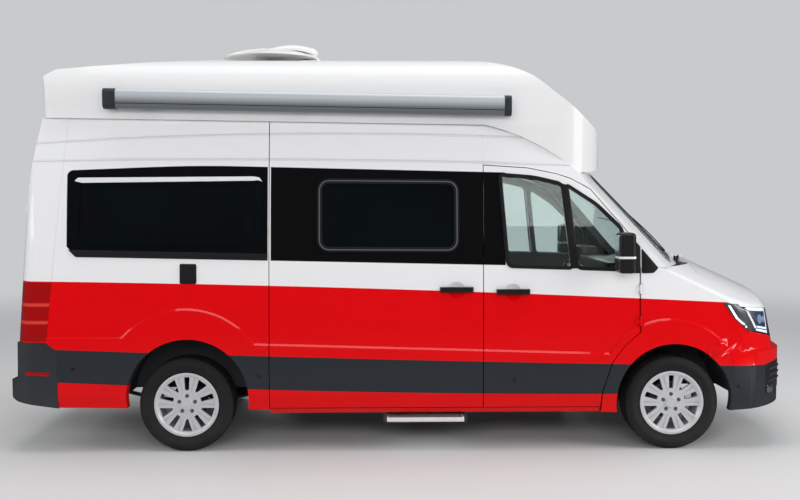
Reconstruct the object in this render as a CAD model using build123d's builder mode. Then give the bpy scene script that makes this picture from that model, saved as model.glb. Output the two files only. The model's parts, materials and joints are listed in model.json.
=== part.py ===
"""High-roof camper van: hollow panel body, hinged doors, steered and rolling wheels."""
import os
from math import asin, atan2, cos, degrees, radians, sin, sqrt, tan

from build123d import *

os.makedirs("parts", exist_ok=True)

# Overall sizes, in millimetres. +X is forward, +Y is the van's left, +Z is up.
LENGTH = 5986
FRONT_OVERHANG = 996
WHEELBASE = 3640
HALF_WIDTH = 1000        # body side at its widest, without the lower flare
FLARE = 14               # how far the lower side stands proud of the upper side
WALL = 70                # thickness of the body walls and of the doors
SEAM = 0.5               # gap between fixed panels
SHUT_GAP = 6             # gap around a door or lid that opens
MEETING_CLEAR = 6        # how far a rear door's free edge stays from its neighbour as it swings
TYRE_RADIUS = 352
TYRE_WIDTH = 235
WHEEL_Y = 866            # middle of a wheel, from the van's centre plane

FRONT_X = LENGTH / 2
REAR_X = -LENGTH / 2
FRONT_AXLE = FRONT_X - FRONT_OVERHANG
REAR_AXLE = FRONT_AXLE - WHEELBASE

# Outlines are drawn on a van of DRAWN_LENGTH. Where LENGTH differs, points ahead of NOSE_ZONE keep their distance
# from the nose, points behind TAIL_ZONE keep theirs from the tail, and those between stay.
DRAWN_LENGTH = 5986
NOSE_ZONE = 350
TAIL_ZONE = -600


def at(x):
    grow = (LENGTH - DRAWN_LENGTH) / 2
    return x + grow * ((x > NOSE_ZONE) - (x < TAIL_ZONE))


def drawn(*points):
    return [(at(x), *rest) for x, *rest in points]


FAR_FRONT = at(3100)     # beyond the nose and the tail
FAR_REAR = at(-3100)
TAIL_INSIDE = at(-2400)  # ahead of everything on the rear face

# Body side: upright up to WIDEST_Z, then one large arc that leans in by LEAN at SHOULDER_Z.
SILL_Z = 280
SILL_HALF = 950
WIDEST_Z = 640
TURN_UNDER_Z = 430
SHOULDER_Z = 2435
LEAN = 132
WAIST_SILL_REAR_Z = 345  # the sill rises a little towards the rear

# Rear face: one arc that leans forward to the top.
TAIL_LOW = (at(-2890), 800)
TAIL_MID = (at(-2835), 1700)
TAIL_TOP = (at(-2700), 2480)
CORNER_RADIUS = 220      # rear corners in plan, at CORNER_Z
CORNER_Z = 640
CORNER_HALF = HALF_WIDTH + 40
CORNER_REAR = at(-2922)
CORNER_TAPER = 4.2

# Joint line between the steel body and the moulded high roof, and the roof's own outline.
RIM_REAR = (at(-2700), 2484)
RIM_FLAT = (at(580), 2437)
RIM_MID = (at(960), 2300)
RIM_FRONT = (at(1285), 2082)
ROOF_WALL = 35
ROOF_REAR = (at(-2705), 2790)
ROOF_REAR_TOP = (at(-2620), 2850)
ROOF_CREST = (at(-300), 2971)
ROOF_FRONT_TOP = (at(520), 2945)
ROOF_BROW = (at(960), 2810)
ROOF_BROW_MID = (at(760), 2897)
ROOF_PEAK = (at(1440), 2425)
ROOF_PEAK_MID = (at(1496), 2345)
ROOF_LIP_TOP = (at(1516), 2255)
ROOF_LIP_LOW = (at(1516), 2115)
ROOF_SIDE_LOW = 912      # half width of the high roof at its joint line
ROOF_SHOULDER = [(872, 2700), (784, 2872), (600, 2946)]
ROOF_NOSE_RADIUS = 420
ROOF_TAIL_RADIUS = 110

# Windscreen: a cylinder of large radius that runs down the slope.
SCREEN_TOP = (at(1384), 2086)
SCREEN_SLOPE = 45.4
SCREEN_RADIUS = 2400
SCREEN_GAUGE_Y = 700     # where SCREEN_TOP was measured
SCREEN_DROP = 60         # from the top point down the slope to the glass's upper edge; its lower edge meets the cowl
SCREEN_HALF = (700, 830) # half width of the glass at those edges
COWL_Z = 1375
COWL_X = at(1745)        # plane between the doors and the front wings
COWL_SPAN = (at(1750), at(2251))

# Bonnet and nose.
BONNET_REAR = (at(2247), 1391)
BONNET_SLOPE = 24.5
BONNET_RADIUS = 2500
BONNET_GAUGE_Y = 450
NOSE_SPLIT_Z = 740
NOSE_SETBACK = 42
NOSE_LEAN = 12
NOSE_ARC = 3000
NOSE_ARC_HALF = 620
NOSE_FILLET = 110
NOSE_WALL = 52
NOSE_SIDE = drawn((1400, 1600), (3100, 1600), (3100, 420), (2975, 330), (2900, 240), (2760, 195), (2430, 282),
                  (1400, 282))

BONNET_SIDE = drawn((2257, 1100), (2400, 1098), (2752, 1056), (2905, 1014), (3100, 1014), (3100, 1600), (2257, 1600))
BONNET_PLAN = drawn((2257, -745), (3000, -745), (3000, 745), (2257, 745))
WING_SIDE = drawn((1748, 1374), (1748, 893), (1637, 800), (1541, 671), (1467, 450), (1455, 200), (2003, 200),
                  (2003, 560), (2275, 780), (2450, 922), (2538, 936), (2410, 1090), (2750, 1050), (2900, 1010),
                  (2900, 1600), (2251, 1600), (2251, 1374))
HEADLAMP_SIDE = drawn((2412, 1089), (2540, 936), (2584, 893), (2790, 840), (2900, 790), (3100, 790), (3100, 1007),
                      (2900, 1007), (2750, 1047))
GRILLE_HALF = 560
GRILLE_Z = (790, 1008)
GRILLE_BARS = 5
GRILLE_BAR = 14
FRONT_BUMPER_SIDE = drawn((2003, 100), (2003, 559), (2275, 779), (2450, 921), (2540, 935), (2584, 892), (2790, 839),
                          (2900, 789), (3100, 789), (3100, 100))
BUMPER_SLOT_Z = (365, 425, 560)
BUMPER_SLOT = 34
BUMPER_SLOT_HALF = 480

# Wheel arches: centre height, radius and the matching flare.
ARCH_FRONT = (FRONT_AXLE + 6, 372, 432)
ARCH_REAR = (REAR_AXLE + 15, 396, 452)

FLARE_BEVEL = 26
FLARE_REAR = [(REAR_AXLE - 472, 878), (REAR_AXLE + 3, 1082), (REAR_AXLE + 518, 828)]
FLARE_FRONT = [(FRONT_AXLE - 497, 752), (FRONT_AXLE - 7, 1002), (FRONT_AXLE + 448, 745)]

# Doors.
SLIDE_REAR_X = at(-1022)
SLIDE_FRONT_X = at(570)
DOOR_LOW_Z = 332
FRONT_DOOR = drawn((573, 332), (573, 2135), (900, 2114), (1115, 2071), (1223, 2036), (1368, 1958), (1700, 1577),
                   (1736, 1354), (1738, 893), (1629, 800), (1533, 671), (1459, 450), (1447, 332))
BACK_DOOR_Z = (592, 2388)
POST_Y = 770             # half width of the rear opening
SLIDE_HANDLE = (369, 1213)
FRONT_HANDLE = (790, 1197)
DOOR_DEPTH = 300         # cut-outs reach this far into the body

# Windows, as outlines in the XZ plane.
GLASS = 12
WINDOW_RADIUS = 60
REAR_WINDOW = drawn((-2340, 1515), (-2325, 2040), (-1190, 2052), (-1190, 1500))
MID_WINDOW = drawn((-640, 1519), (-640, 2012), (363, 2005), (363, 1515))
DOOR_LIGHT = drawn((758, 1392), (702, 2060), (950, 2040), (1155, 1992), (1230, 1378))
QUARTER_LIGHT = drawn((1276, 1376), (1202, 1976), (1410, 1842), (1600, 1660), (1640, 1364))
BACK_LIGHT_Y = (110, 640)
BACK_LIGHT_Z = (1470, 2080)

# Running gear.
KINGPIN_Y = 790
KINGPIN = 12
ARM_HALF = 24            # half width of a front arm, and how far it reaches past the king pin
ARM_END = 18
SPINDLE = 31.7
HUB_BORE = 32
BRAKE_RADIUS = 140
RIM_RADIUS = 232
RIM_DEPTH = 92           # from the wheel's middle to the rim's edge
SPOKES = 5               # pairs of spokes
CAP_RADIUS = 38
BOLT_CIRCLE = 124
BOLT_WELL = 15
STRUT_Y = 655
STRUT_TOP = 809.6
LEAF_Y = 610
LEAF_HALF = 600
LINER = 10
RAIL_Y = (420, 490)
RAIL_Z = (400, 469.5)
FLOOR_Z = (470, 510)
FLOOR_REAR = at(-2795)

# Fittings.
AWNING_REAR = (at(-2209), 2616)
AWNING_FRONT = (at(763), 2569)
AWNING_Y = (-1032, -916)
AWNING_HEIGHT = 144
DISH_X = at(-1100)
DISH_RADIUS = 385
DISH_Z = 3040
DISH_PIVOT_X = DISH_X + DISH_RADIUS + 8
DISH_PIVOT_Z = 3021
DISH_PIN = 8
STEP_X = (-150, 430)
STEP_Z = (216, 254)
STEP_Y = (-985, -620)
WHEEL_CENTRE = (at(1380), 430, 1190)
COLUMN = (-0.77, 0, 0.64)
MIRROR_X = (at(1528), at(1652))
MIRROR_Y = (1058, 1213)
MIRROR_Z = (1345, 1642)

SILL_OUTLINE = [(952, 286), (968, 322), (898, 322), (898, 469.7), (860, 469.7), (860, 286)]
CROSSMEMBERS = [(at(x), at(x) + 60) for x in (-2790, -1180, -200, 900, 2320, 2660)]
RAIL_X = (at(-2790), at(2720))
SEAT_BLOCKS = [          # x limits, half width, z limits: box, cushion, back, headrest, posts
    ((620, 1000), 200, (FLOOR_Z[1], 800)), ((560, 1080), 250, (790, 920)), ((540, 680), 250, (860, 1430)),
    ((560, 650), 130, (1450, 1610)), ((590, 620), 60, (1400, 1500))]
DASH_SIDE = drawn((1470, 1000), (1500, 1280), (1600, 1325), (1699.7, 1325), (1699.7, 760), (1560, 800))

# Hinges: knuckle and pin radius, then two points on each axis.
HINGE_RADIUS = 9
HINGE_PIN = 5
HINGE_LENGTH = 70
CUP_RADIUS = 110         # bowl behind a door handle
CUP_DEPTH = 21
FRONT_HINGE = drawn((1743, 1012, 880), (1743, 991, 1280))
FRONT_HINGE_AT = (60, 300)
REAR_HINGE = drawn((-2914, 783, 900), (-2858, 783, 1790))
REAR_HINGE_AT = (10, 440, 890)
BONNET_HINGE = (at(2254), 1413)
BONNET_HINGE_Y = 180

# Tail, bumper and lamps.
BUMPER_TOP_Z = 827
BUMPER_SIDE_X = at(-2578)
LAMP_Z = (838, 1268)
TAIL_SEAM = drawn((-2662, 827), (-2503, 2520))
REAR_BUMPER = drawn((-2578, 338), (-2578, 761), (-2662, 827), (-2886, 827), (-2890, 600), (-2892, 556), (-2975, 530),
                    (-2993, 498), (-2985, 404), (-2900, 382))
REAR_BUMPER_RADIUS = 260
REAR_BUMPER_INSIDE = 150
BUMPER_WALL = 60
BUMPER_LONG = 993        # from the rear face to beyond the bumper's side ends


def save(part, name):
    part.label = name
    export_step(part, f"parts/{name}.step")


def side_prism(points, y_low, y_high):
    """Polygon in the XZ plane carried across from y_low to y_high."""
    with BuildPart() as prism:
        with BuildSketch(Plane.XZ.offset(-y_high)):
            with BuildLine():
                Polyline(*points, close=True)
            make_face()
        extrude(amount=y_high - y_low)
    return prism.part


def sag(radius, half):
    return radius - sqrt(radius**2 - half**2)


def lean_at(z):
    """How far the body side leans in at height z."""
    return LEAN * ((z - WIDEST_Z) / (SHOULDER_Z - WIDEST_Z)) ** 2


def body_section(half):
    """The van's cross-section with the given half width, carried along X past both ends."""
    mid_z = (WIDEST_Z + SHOULDER_Z) / 2
    with BuildPart() as bar:
        with BuildSketch(Plane.YZ.offset(FAR_REAR)):
            with BuildLine():
                turn = (half - HALF_WIDTH + SILL_HALF, SILL_Z - 100)
                low = (half, TURN_UNDER_Z)
                widest = (half, WIDEST_Z)
                mid = (half - lean_at(mid_z), mid_z)
                shoulder = (half - LEAN, SHOULDER_Z)
                top = (half - LEAN, SHOULDER_Z + 200)
                Polyline((0, turn[1]), turn, low, widest)
                ThreePointArc(widest, mid, shoulder)
                Polyline(shoulder, top, (0, top[1]))
                mirror(about=Plane.YZ)
            make_face()
        extrude(amount=FAR_FRONT - FAR_REAR)
    return bar.part


def slope_space(point, slope, radius, gauge_y, inset, rise):
    """Everything below a gently crowned surface that runs down a slope in the XZ plane."""
    a = radians(slope)
    crown = sag(radius, gauge_y) - inset
    origin = (point[0] + crown * sin(a), 0, point[1] + crown * cos(a))
    half = 1250
    with BuildPart() as space:
        plane = Plane(origin, x_dir=(0, 1, 0), z_dir=(cos(a), 0, -sin(a)))
        with BuildSketch(plane):
            with BuildLine():
                drop = sag(radius, half)
                ThreePointArc((-half, -drop), (0, 0), (half, -drop))
                Polyline((half, -drop), (half, -rise), (-half, -rise), (-half, -drop))
            make_face()
        extrude(amount=rise, both=True)
    return space.part


def screen_space(inset):
    return slope_space(SCREEN_TOP, SCREEN_SLOPE, SCREEN_RADIUS, SCREEN_GAUGE_Y, inset, 7000)


def flare_space():
    """The lower side that stands proud of the rest, with a bevelled upper edge, on the right side."""
    base_y = HALF_WIDTH - FLARE
    with BuildPart() as space:
        with BuildSketch(Plane.XZ.offset(base_y)):
            with BuildLine():
                Line((at(-2700), 880), FLARE_REAR[0])
                ThreePointArc(*FLARE_REAR)
                Line(FLARE_REAR[2], FLARE_FRONT[0])
                ThreePointArc(*FLARE_FRONT)
                Polyline(FLARE_FRONT[2], (FAR_FRONT, 740), (FAR_FRONT, 150), (at(-2700), 150), (at(-2700), 880))
            make_face()
        extrude(amount=2 * FLARE)
        proud = edges().group_by(Axis.Y)[0]
        chamfer([e for e in proud if e.center().Z > 500 and at(-2600) < e.center().X < at(2600)], FLARE_BEVEL)
    return space.part


section = body_section(HALF_WIDTH)
wide_section = body_section(HALF_WIDTH + FLARE)
flare_right = flare_space()
with BuildPart() as skin_build:
    add(flare_right)
    mirror(about=Plane.XZ)
    add(wide_section, mode=Mode.INTERSECT)
    add(section)
skin = skin_build.part


with BuildPart() as corners:
    with BuildSketch(Plane.XY.offset(CORNER_Z)):
        with Locations((CORNER_REAR, 0)):
            Rectangle(2 * LENGTH, 2 * CORNER_HALF, align=(Align.MIN, Align.CENTER))
        fillet([v for v in vertices() if v.X < 0], CORNER_RADIUS)
    extrude(amount=2000, taper=CORNER_TAPER)
    extrude(corners.faces().sort_by(Axis.Z)[0], amount=CORNER_Z)
rounded_tail = corners.part


def main_volume(inset):
    """The body behind the front wings, inset from its outer skin; an inset one is open above and below."""
    lift = 150 if inset else 0
    floor_z = 100 if inset else SILL_Z
    rear_floor = 100 if inset else WAIST_SILL_REAR_Z
    front = COWL_X + (200 if inset else 0)
    around = body_section(HALF_WIDTH - inset) if inset else skin
    screen = screen_space(inset)
    with BuildPart() as volume:
        with BuildSketch(Plane.XZ.offset(-1300)):
            with BuildLine():
                ThreePointArc((TAIL_LOW[0] + inset, TAIL_LOW[1]), (TAIL_MID[0] + inset, TAIL_MID[1]),
                              (TAIL_TOP[0] + inset, TAIL_TOP[1]))
                Polyline((TAIL_TOP[0] + inset, TAIL_TOP[1]), (TAIL_TOP[0] + inset, RIM_REAR[1] + lift),
                         (RIM_FLAT[0], RIM_FLAT[1] + lift))
                ThreePointArc((RIM_FLAT[0], RIM_FLAT[1] + lift), (RIM_MID[0], RIM_MID[1] + lift),
                              (RIM_FRONT[0], RIM_FRONT[1] + lift))
                Polyline((RIM_FRONT[0], RIM_FRONT[1] + lift), (at(2600), RIM_FRONT[1] + lift),
                         (at(2600), COWL_Z - lift), (front, COWL_Z - lift), (front, floor_z),
                         (TAIL_LOW[0] + inset, rear_floor), (TAIL_LOW[0] + inset, TAIL_LOW[1]))
            make_face()
        extrude(amount=2600)
        add(around, mode=Mode.INTERSECT)
        add(screen, mode=Mode.INTERSECT)
        if not inset:
            add(rounded_tail, mode=Mode.INTERSECT)
    return volume.part


def inset_by(point, amount, dx, dz):
    return (point[0] + amount * dx, point[1] + amount * dz)


def roof_volume(inset):
    """The moulded high roof as a full block, inset from its outer skin; an inset one is open below."""
    rear = inset_by(ROOF_REAR, inset, 1, -0.5)
    rear_top = inset_by(ROOF_REAR_TOP, inset, 0.5, -1)
    front_top = inset_by(ROOF_FRONT_TOP, inset, 0, -1)
    brow = inset_by(ROOF_BROW, inset, -0.62, -0.79)
    peak = inset_by(ROOF_PEAK, inset, -0.62, -0.79)
    lip_top = inset_by(ROOF_LIP_TOP, inset, -1, 0)
    lip_low = inset_by(ROOF_LIP_LOW, inset, -1, 1)
    heel = (RIM_FRONT[0] + 110, RIM_FRONT[1] + 6 + inset)
    shoulder = [inset_by(ROOF_SHOULDER[0], inset, -1, -0.2), inset_by(ROOF_SHOULDER[1], inset, -0.75, -0.65),
                inset_by(ROOF_SHOULDER[2], inset, -0.3, -1)]
    rim = [(p[0], p[1] + SEAM) for p in (RIM_FRONT, RIM_MID, RIM_FLAT, RIM_REAR)]
    with BuildPart() as volume:
        with BuildSketch(Plane.XZ.offset(-1300)):
            with BuildLine():
                Line(rear, rear_top)
                ThreePointArc(rear_top, inset_by(ROOF_CREST, inset, 0, -1), front_top)
                ThreePointArc(front_top, inset_by(ROOF_BROW_MID, inset, -0.35, -0.93), brow)
                Line(brow, peak)
                ThreePointArc(peak, inset_by(ROOF_PEAK_MID, inset, -0.85, -0.5), lip_top)
                Polyline(lip_top, lip_low, heel)
                if inset:
                    open_x = RIM_FRONT[0] - 45
                    Polyline(heel, (open_x, heel[1]), (open_x, 1900), (rear[0], 1900), rear)
                else:
                    Line(heel, rim[0])
                    ThreePointArc(*rim[:3])
                    Polyline(rim[2], rim[3], rear)
            make_face()
        extrude(amount=2600)
        with BuildSketch(Plane.YZ.offset(FAR_REAR)):
            with BuildLine():
                half = ROOF_SIDE_LOW - inset
                Polyline((0, 1800), (half, 1800), (half, SHOULDER_Z), shoulder[0])
                ThreePointArc(*shoulder)
                ThreePointArc(shoulder[2], (shoulder[2][0] / 2, ROOF_CREST[1] - 6 - inset),
                              (0, ROOF_CREST[1] - inset))
                mirror(about=Plane.YZ)
            make_face()
        extrude(amount=FAR_FRONT - FAR_REAR, mode=Mode.INTERSECT)
        with BuildSketch(Plane.XY.offset(1700)):
            with Locations(((ROOF_LIP_TOP[0] + ROOF_REAR[0]) / 2, 0)):
                Rectangle(ROOF_LIP_TOP[0] - ROOF_REAR[0] - 2 * inset, 2 * (ROOF_SIDE_LOW - inset))
            fillet([v for v in vertices() if v.X > 0], ROOF_NOSE_RADIUS - inset)
            fillet([v for v in vertices() if v.X < 0], ROOF_TAIL_RADIUS - inset)
        extrude(amount=1500, mode=Mode.INTERSECT)
    return volume.part


def nose_plan(z, front, inset, rear):
    """Outline of the nose seen from above: a flat front arc that turns into the sides."""
    half = HALF_WIDTH + FLARE
    turn = asin(NOSE_ARC_HALF / NOSE_ARC)
    corner = (half - NOSE_ARC_HALF) / (1 - sin(turn))
    big = NOSE_ARC - inset
    small = corner - inset
    hub = front - NOSE_ARC
    meet = (hub + big * cos(turn), big * sin(turn))
    heel = (hub + (NOSE_ARC - corner) * cos(turn), (NOSE_ARC - corner) * sin(turn))
    mean = (turn + radians(90)) / 2
    with BuildSketch(Plane.XY.offset(z)) as plan:
        with BuildLine():
            ThreePointArc((front - inset, 0), (hub + big * cos(turn / 2), big * sin(turn / 2)), meet)
            ThreePointArc(meet, (heel[0] + small * cos(mean), heel[1] + small * sin(mean)),
                          (heel[0], heel[1] + small))
            Polyline((heel[0], heel[1] + small), (rear, heel[1] + small), (rear, 0))
            mirror(about=Plane.XZ)
        make_face()
    return plan.sketch


def nose_volume(inset):
    """Front wings, bonnet, grille and bumper as one block; an inset one is open below and behind."""
    rear = at(1300 if inset else 1400)
    lean = radians(NOSE_LEAN)
    drop = inset + 5 if inset else 0
    high_plan = nose_plan(NOSE_SPLIT_Z - drop, FRONT_X - NOSE_SETBACK + drop * tan(lean), inset, rear)
    low_plan = nose_plan(100, FRONT_X, inset, rear)
    bonnet_space = slope_space(BONNET_REAR, BONNET_SLOPE, BONNET_RADIUS, BONNET_GAUGE_Y, inset, 3500)
    around = body_section(HALF_WIDTH - inset) if inset else skin
    side = side_prism(NOSE_SIDE, -1300, 1300)
    with BuildPart() as low:
        extrude(low_plan, amount=NOSE_SPLIT_Z - 100 - inset)
        add(around, mode=Mode.INTERSECT)
    with BuildPart() as volume:
        extrude(high_plan, amount=900, dir=(-sin(lean), 0, cos(lean)))
        add(bonnet_space, mode=Mode.INTERSECT)
        if not inset:
            brow = [e for e in edges() if e.center().X > at(2450) and e.center().Z > 980 and e.length > 150]
            fillet(brow, NOSE_FILLET)
        add(around, mode=Mode.INTERSECT)
        add(low.part)
        if not inset:
            add(side, mode=Mode.INTERSECT)
    return volume.part


def cross_drum(x, z, radius, y_low, y_high):
    """Cylinder across the van, centred at x, z."""
    with BuildPart() as drum:
        with BuildSketch(Plane.XZ.offset(-y_high)):
            with Locations((x, z)):
                Circle(radius)
        extrude(amount=y_high - y_low)
    return drum.part


def rounded_prism(points, radius, y_low, y_high, grow=0):
    """Polygon with rounded corners in the XZ plane, grown or shrunk, carried from y_low to y_high."""
    with BuildPart() as prism:
        with BuildSketch(Plane.XZ.offset(-y_high)):
            with BuildLine():
                Polyline(*points, close=True)
            make_face()
            if radius:
                fillet(vertices(), radius)
            if grow:
                offset(amount=grow, kind=Kind.INTERSECTION, mode=Mode.REPLACE)
        extrude(amount=y_high - y_low)
    return prism.part


def block(x, y, z):
    """Box between pairs of limits."""
    with BuildPart() as box:
        with Locations(((x[0] + x[1]) / 2, (y[0] + y[1]) / 2, (z[0] + z[1]) / 2)):
            Box(x[1] - x[0], y[1] - y[0], z[1] - z[0])
    return box.part


def both_sides(part):
    with BuildPart() as pair:
        add(part)
        mirror(about=Plane.XZ)
    return pair.part


def right_side(part):
    with BuildPart() as image:
        add(part)
        mirror(about=Plane.XZ, mode=Mode.REPLACE)
    return image.part


def hinge_leaf(plane, boxes, pinned):
    """Half of a hinge: knuckles on the axis with straps that reach away from it."""
    long = HINGE_LENGTH
    spans = [(0, long / 4), (3 * long / 4, long)] if pinned else [(long / 4 + 1, 3 * long / 4 - 1)]
    with BuildPart(plane) as leaf:
        for low, high in spans:
            with Locations((0, 0, (low + high) / 2)):
                Cylinder(HINGE_RADIUS, high - low)
            for x0, x1, y0, y1 in boxes:
                with Locations(((x0 + x1) / 2, (y0 + y1) / 2, (low + high) / 2)):
                    Box(x1 - x0, y1 - y0, high - low)
        with Locations((0, 0, long / 2)):
            if pinned:
                Cylinder(HINGE_PIN, long)
            else:
                Cylinder(HINGE_PIN + 0.3, long, mode=Mode.SUBTRACT)
    return leaf.part


def hinge_relief(plane, radius):
    with BuildPart(plane) as relief:
        with Locations((0, 0, HINGE_LENGTH / 2)):
            Cylinder(radius, HINGE_LENGTH + 12)
    return relief.part


def swing_drum(plane, radius):
    """Long cylinder about a hinge axis: all that can turn about it past a fixed neighbour."""
    with BuildPart(plane) as drum:
        Cylinder(radius, 5000)
    return drum.part


def plan_prism(points, grow, z_low, z_high):
    """Outline seen from above, grown by a margin, carried from z_low to z_high."""
    with BuildPart() as prism:
        with BuildSketch(Plane.XY.offset(z_low)):
            with BuildLine():
                Polyline(*points, close=True)
            make_face()
            if grow:
                offset(amount=grow, kind=Kind.INTERSECTION, mode=Mode.REPLACE)
        extrude(amount=z_high - z_low)
    return prism.part


def screen_prism(shrink):
    """Windscreen outline carried square to its slope."""
    a = radians(SCREEN_SLOPE)
    plane = Plane((SCREEN_TOP[0], 0, SCREEN_TOP[1]), x_dir=(0, 1, 0), z_dir=(sin(a), 0, cos(a)))
    fall = sag(SCREEN_RADIUS, SCREEN_HALF[1]) - sag(SCREEN_RADIUS, SCREEN_GAUGE_Y)
    top, low = SCREEN_DROP, (SCREEN_TOP[1] - COWL_Z) / sin(a) - fall / tan(a) - SEAM
    with BuildPart() as prism:
        with BuildSketch(plane):
            with BuildLine():
                Polyline((-SCREEN_HALF[0], -top), (SCREEN_HALF[0], -top), (SCREEN_HALF[1], -low),
                         (-SCREEN_HALF[1], -low), close=True)
            make_face()
            fillet(vertices(), 90)
            if shrink:
                offset(amount=-shrink, kind=Kind.INTERSECTION, mode=Mode.REPLACE)
        extrude(amount=300, both=True)
    return prism.part


def hinge_planes(axis, places, x_dir):
    low, high = (Vector(*p) for p in axis)
    along = (high - low).normalized()
    return [Plane(low + along * place, x_dir=x_dir, z_dir=along) for place in places]


def quarter_outline(front):
    """Side wall outline from the tail seam to the given front edge."""
    low, high = TAIL_SEAM
    x = BUMPER_SIDE_X + SEAM
    return [(x, 200), (x, 761), (low[0] + SEAM, low[1] + SEAM), (high[0] + SEAM, high[1]), (front, high[1]),
            (front, 200)]


def handle_cup(x, z, y_dir):
    """Round bowl in the door skin behind a handle."""
    with BuildPart() as bowl:
        with Locations((at(x), y_dir * (HALF_WIDTH - lean_at(z) + CUP_RADIUS - CUP_DEPTH), z)):
            Sphere(CUP_RADIUS)
    return bowl.part


SIDE = 1300
outer = main_volume(0)
inner = main_volume(WALL)
glass_inner = main_volume(GLASS)
roof_outer = roof_volume(0)
roof_inner = roof_volume(ROOF_WALL)
nose_outer = nose_volume(0)
nose_inner = nose_volume(NOSE_WALL)
with BuildPart() as wall_build:
    add(outer)
    add(inner, mode=Mode.SUBTRACT)
wall = wall_build.part
with BuildPart() as pane_build:
    add(outer)
    add(glass_inner, mode=Mode.SUBTRACT)
pane_layer = pane_build.part
with BuildPart() as nose_build:
    add(nose_outer)
    add(nose_inner, mode=Mode.SUBTRACT)
nose_wall = nose_build.part

arch_rear = cross_drum(*ARCH_REAR, -SIDE, SIDE)
arch_front = cross_drum(*ARCH_FRONT, -SIDE, SIDE)
screen_cut = screen_prism(0)
screen_pane = screen_prism(SEAM)
front_planes = hinge_planes(FRONT_HINGE, FRONT_HINGE_AT, (1, 0, 0))
rear_planes = hinge_planes(REAR_HINGE, REAR_HINGE_AT, (0, 1, 0))

# Side walls and the sliding door.
rear_windows = rounded_prism(REAR_WINDOW, WINDOW_RADIUS, -SIDE, SIDE)
mid_windows = rounded_prism(MID_WINDOW, WINDOW_RADIUS, -SIDE, SIDE)
quarter_region = side_prism(quarter_outline(SLIDE_REAR_X - SHUT_GAP / 2), -SIDE, 0)
with BuildPart() as quarter_right:
    add(wall)
    add(quarter_region, mode=Mode.INTERSECT)
    add(arch_rear, mode=Mode.SUBTRACT)
    add(rear_windows, mode=Mode.SUBTRACT)
save(quarter_right.part, "quarter_right")

left_region = side_prism(quarter_outline(SLIDE_FRONT_X - SHUT_GAP / 2), 0, SIDE)
with BuildPart() as side_wall_left:
    add(wall)
    add(left_region, mode=Mode.INTERSECT)
    add(arch_rear, mode=Mode.SUBTRACT)
    add(rear_windows, mode=Mode.SUBTRACT)
    add(mid_windows, mode=Mode.SUBTRACT)
save(side_wall_left.part, "side_wall_left")

slide_region = block((SLIDE_REAR_X + SHUT_GAP / 2, SLIDE_FRONT_X - SHUT_GAP / 2), (-SIDE, 0), (DOOR_LOW_Z, 2700))
slide_cup = handle_cup(*SLIDE_HANDLE, -1)
with BuildPart() as sliding_door:
    add(wall)
    add(slide_region, mode=Mode.INTERSECT)
    add(mid_windows, mode=Mode.SUBTRACT)
    add(slide_cup, mode=Mode.SUBTRACT)
save(sliding_door.part, "sliding_door")

# Rear portal, tail lamps and rear doors.
low_seam, high_seam = TAIL_SEAM
tail_region = side_prism([(FAR_REAR, 400), (FAR_REAR, 2700), (high_seam[0] - SEAM, 2700),
                          (high_seam[0] - SEAM, high_seam[1]), (low_seam[0] - SEAM, low_seam[1]),
                          (low_seam[0] - SEAM, 400)], -SIDE, SIDE)
lamp_zone = block((FAR_REAR, TAIL_INSIDE), (POST_Y + 40, SIDE), LAMP_Z)
lamp_hole = both_sides(block((FAR_REAR, TAIL_INSIDE), (POST_Y + 40 - SEAM, SIDE),
                             (LAMP_Z[0] - SEAM, LAMP_Z[1] + SEAM)))
low_hole = both_sides(block((FAR_REAR, TAIL_INSIDE), (POST_Y, SIDE), (0, BUMPER_TOP_Z + SEAM)))
sill_hole = block((FAR_REAR, TAIL_INSIDE), (-SIDE, SIDE), (0, 562))
door_hole = block((FAR_REAR, TAIL_INSIDE), (-POST_Y, POST_Y), (BACK_DOOR_Z[0] - SHUT_GAP, BACK_DOOR_Z[1] + SHUT_GAP))
rear_moving = [hinge_leaf(p, [(-48, 0, -9, HINGE_RADIUS), (-48, -26, -70, 0)], False) for p in rear_planes]
rear_fixed = [hinge_leaf(p, [(0, 20, -70, 0)], True) for p in rear_planes]
with BuildPart() as rear_portal:
    add(wall)
    add(tail_region, mode=Mode.INTERSECT)
    for hole in (door_hole, lamp_hole, low_hole, sill_hole):
        add(hole, mode=Mode.SUBTRACT)
    for leaf in rear_fixed:
        add(leaf)
        add(right_side(leaf))
save(rear_portal.part, "rear_portal")

with BuildPart() as tail_lamps:
    add(wall)
    add(tail_region, mode=Mode.INTERSECT)
    add(lamp_zone, mode=Mode.INTERSECT)
    mirror(about=Plane.XZ)
save(tail_lamps.part, "tail_lamps")

back_light = block((FAR_REAR, TAIL_INSIDE), BACK_LIGHT_Y, BACK_LIGHT_Z)
back_light = fillet(back_light.edges().filter_by(Axis.X), WINDOW_RADIUS)
door_zone = block((FAR_REAR, TAIL_INSIDE), (SHUT_GAP / 2, POST_Y - SHUT_GAP), BACK_DOOR_Z)
door_swing = swing_drum(rear_planes[0], REAR_HINGE[0][1] + SHUT_GAP / 2 - MEETING_CLEAR)
with BuildPart() as rear_door_left:
    add(wall)
    add(tail_region, mode=Mode.INTERSECT)
    add(door_zone, mode=Mode.INTERSECT)
    add(door_swing, mode=Mode.INTERSECT)
    add(back_light, mode=Mode.SUBTRACT)
    for leaf in rear_moving:
        add(leaf)
save(rear_door_left.part, "rear_door_left")
with BuildPart() as rear_door_right:
    add(right_side(rear_door_left.part))
save(rear_door_right.part, "rear_door_right")

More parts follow.
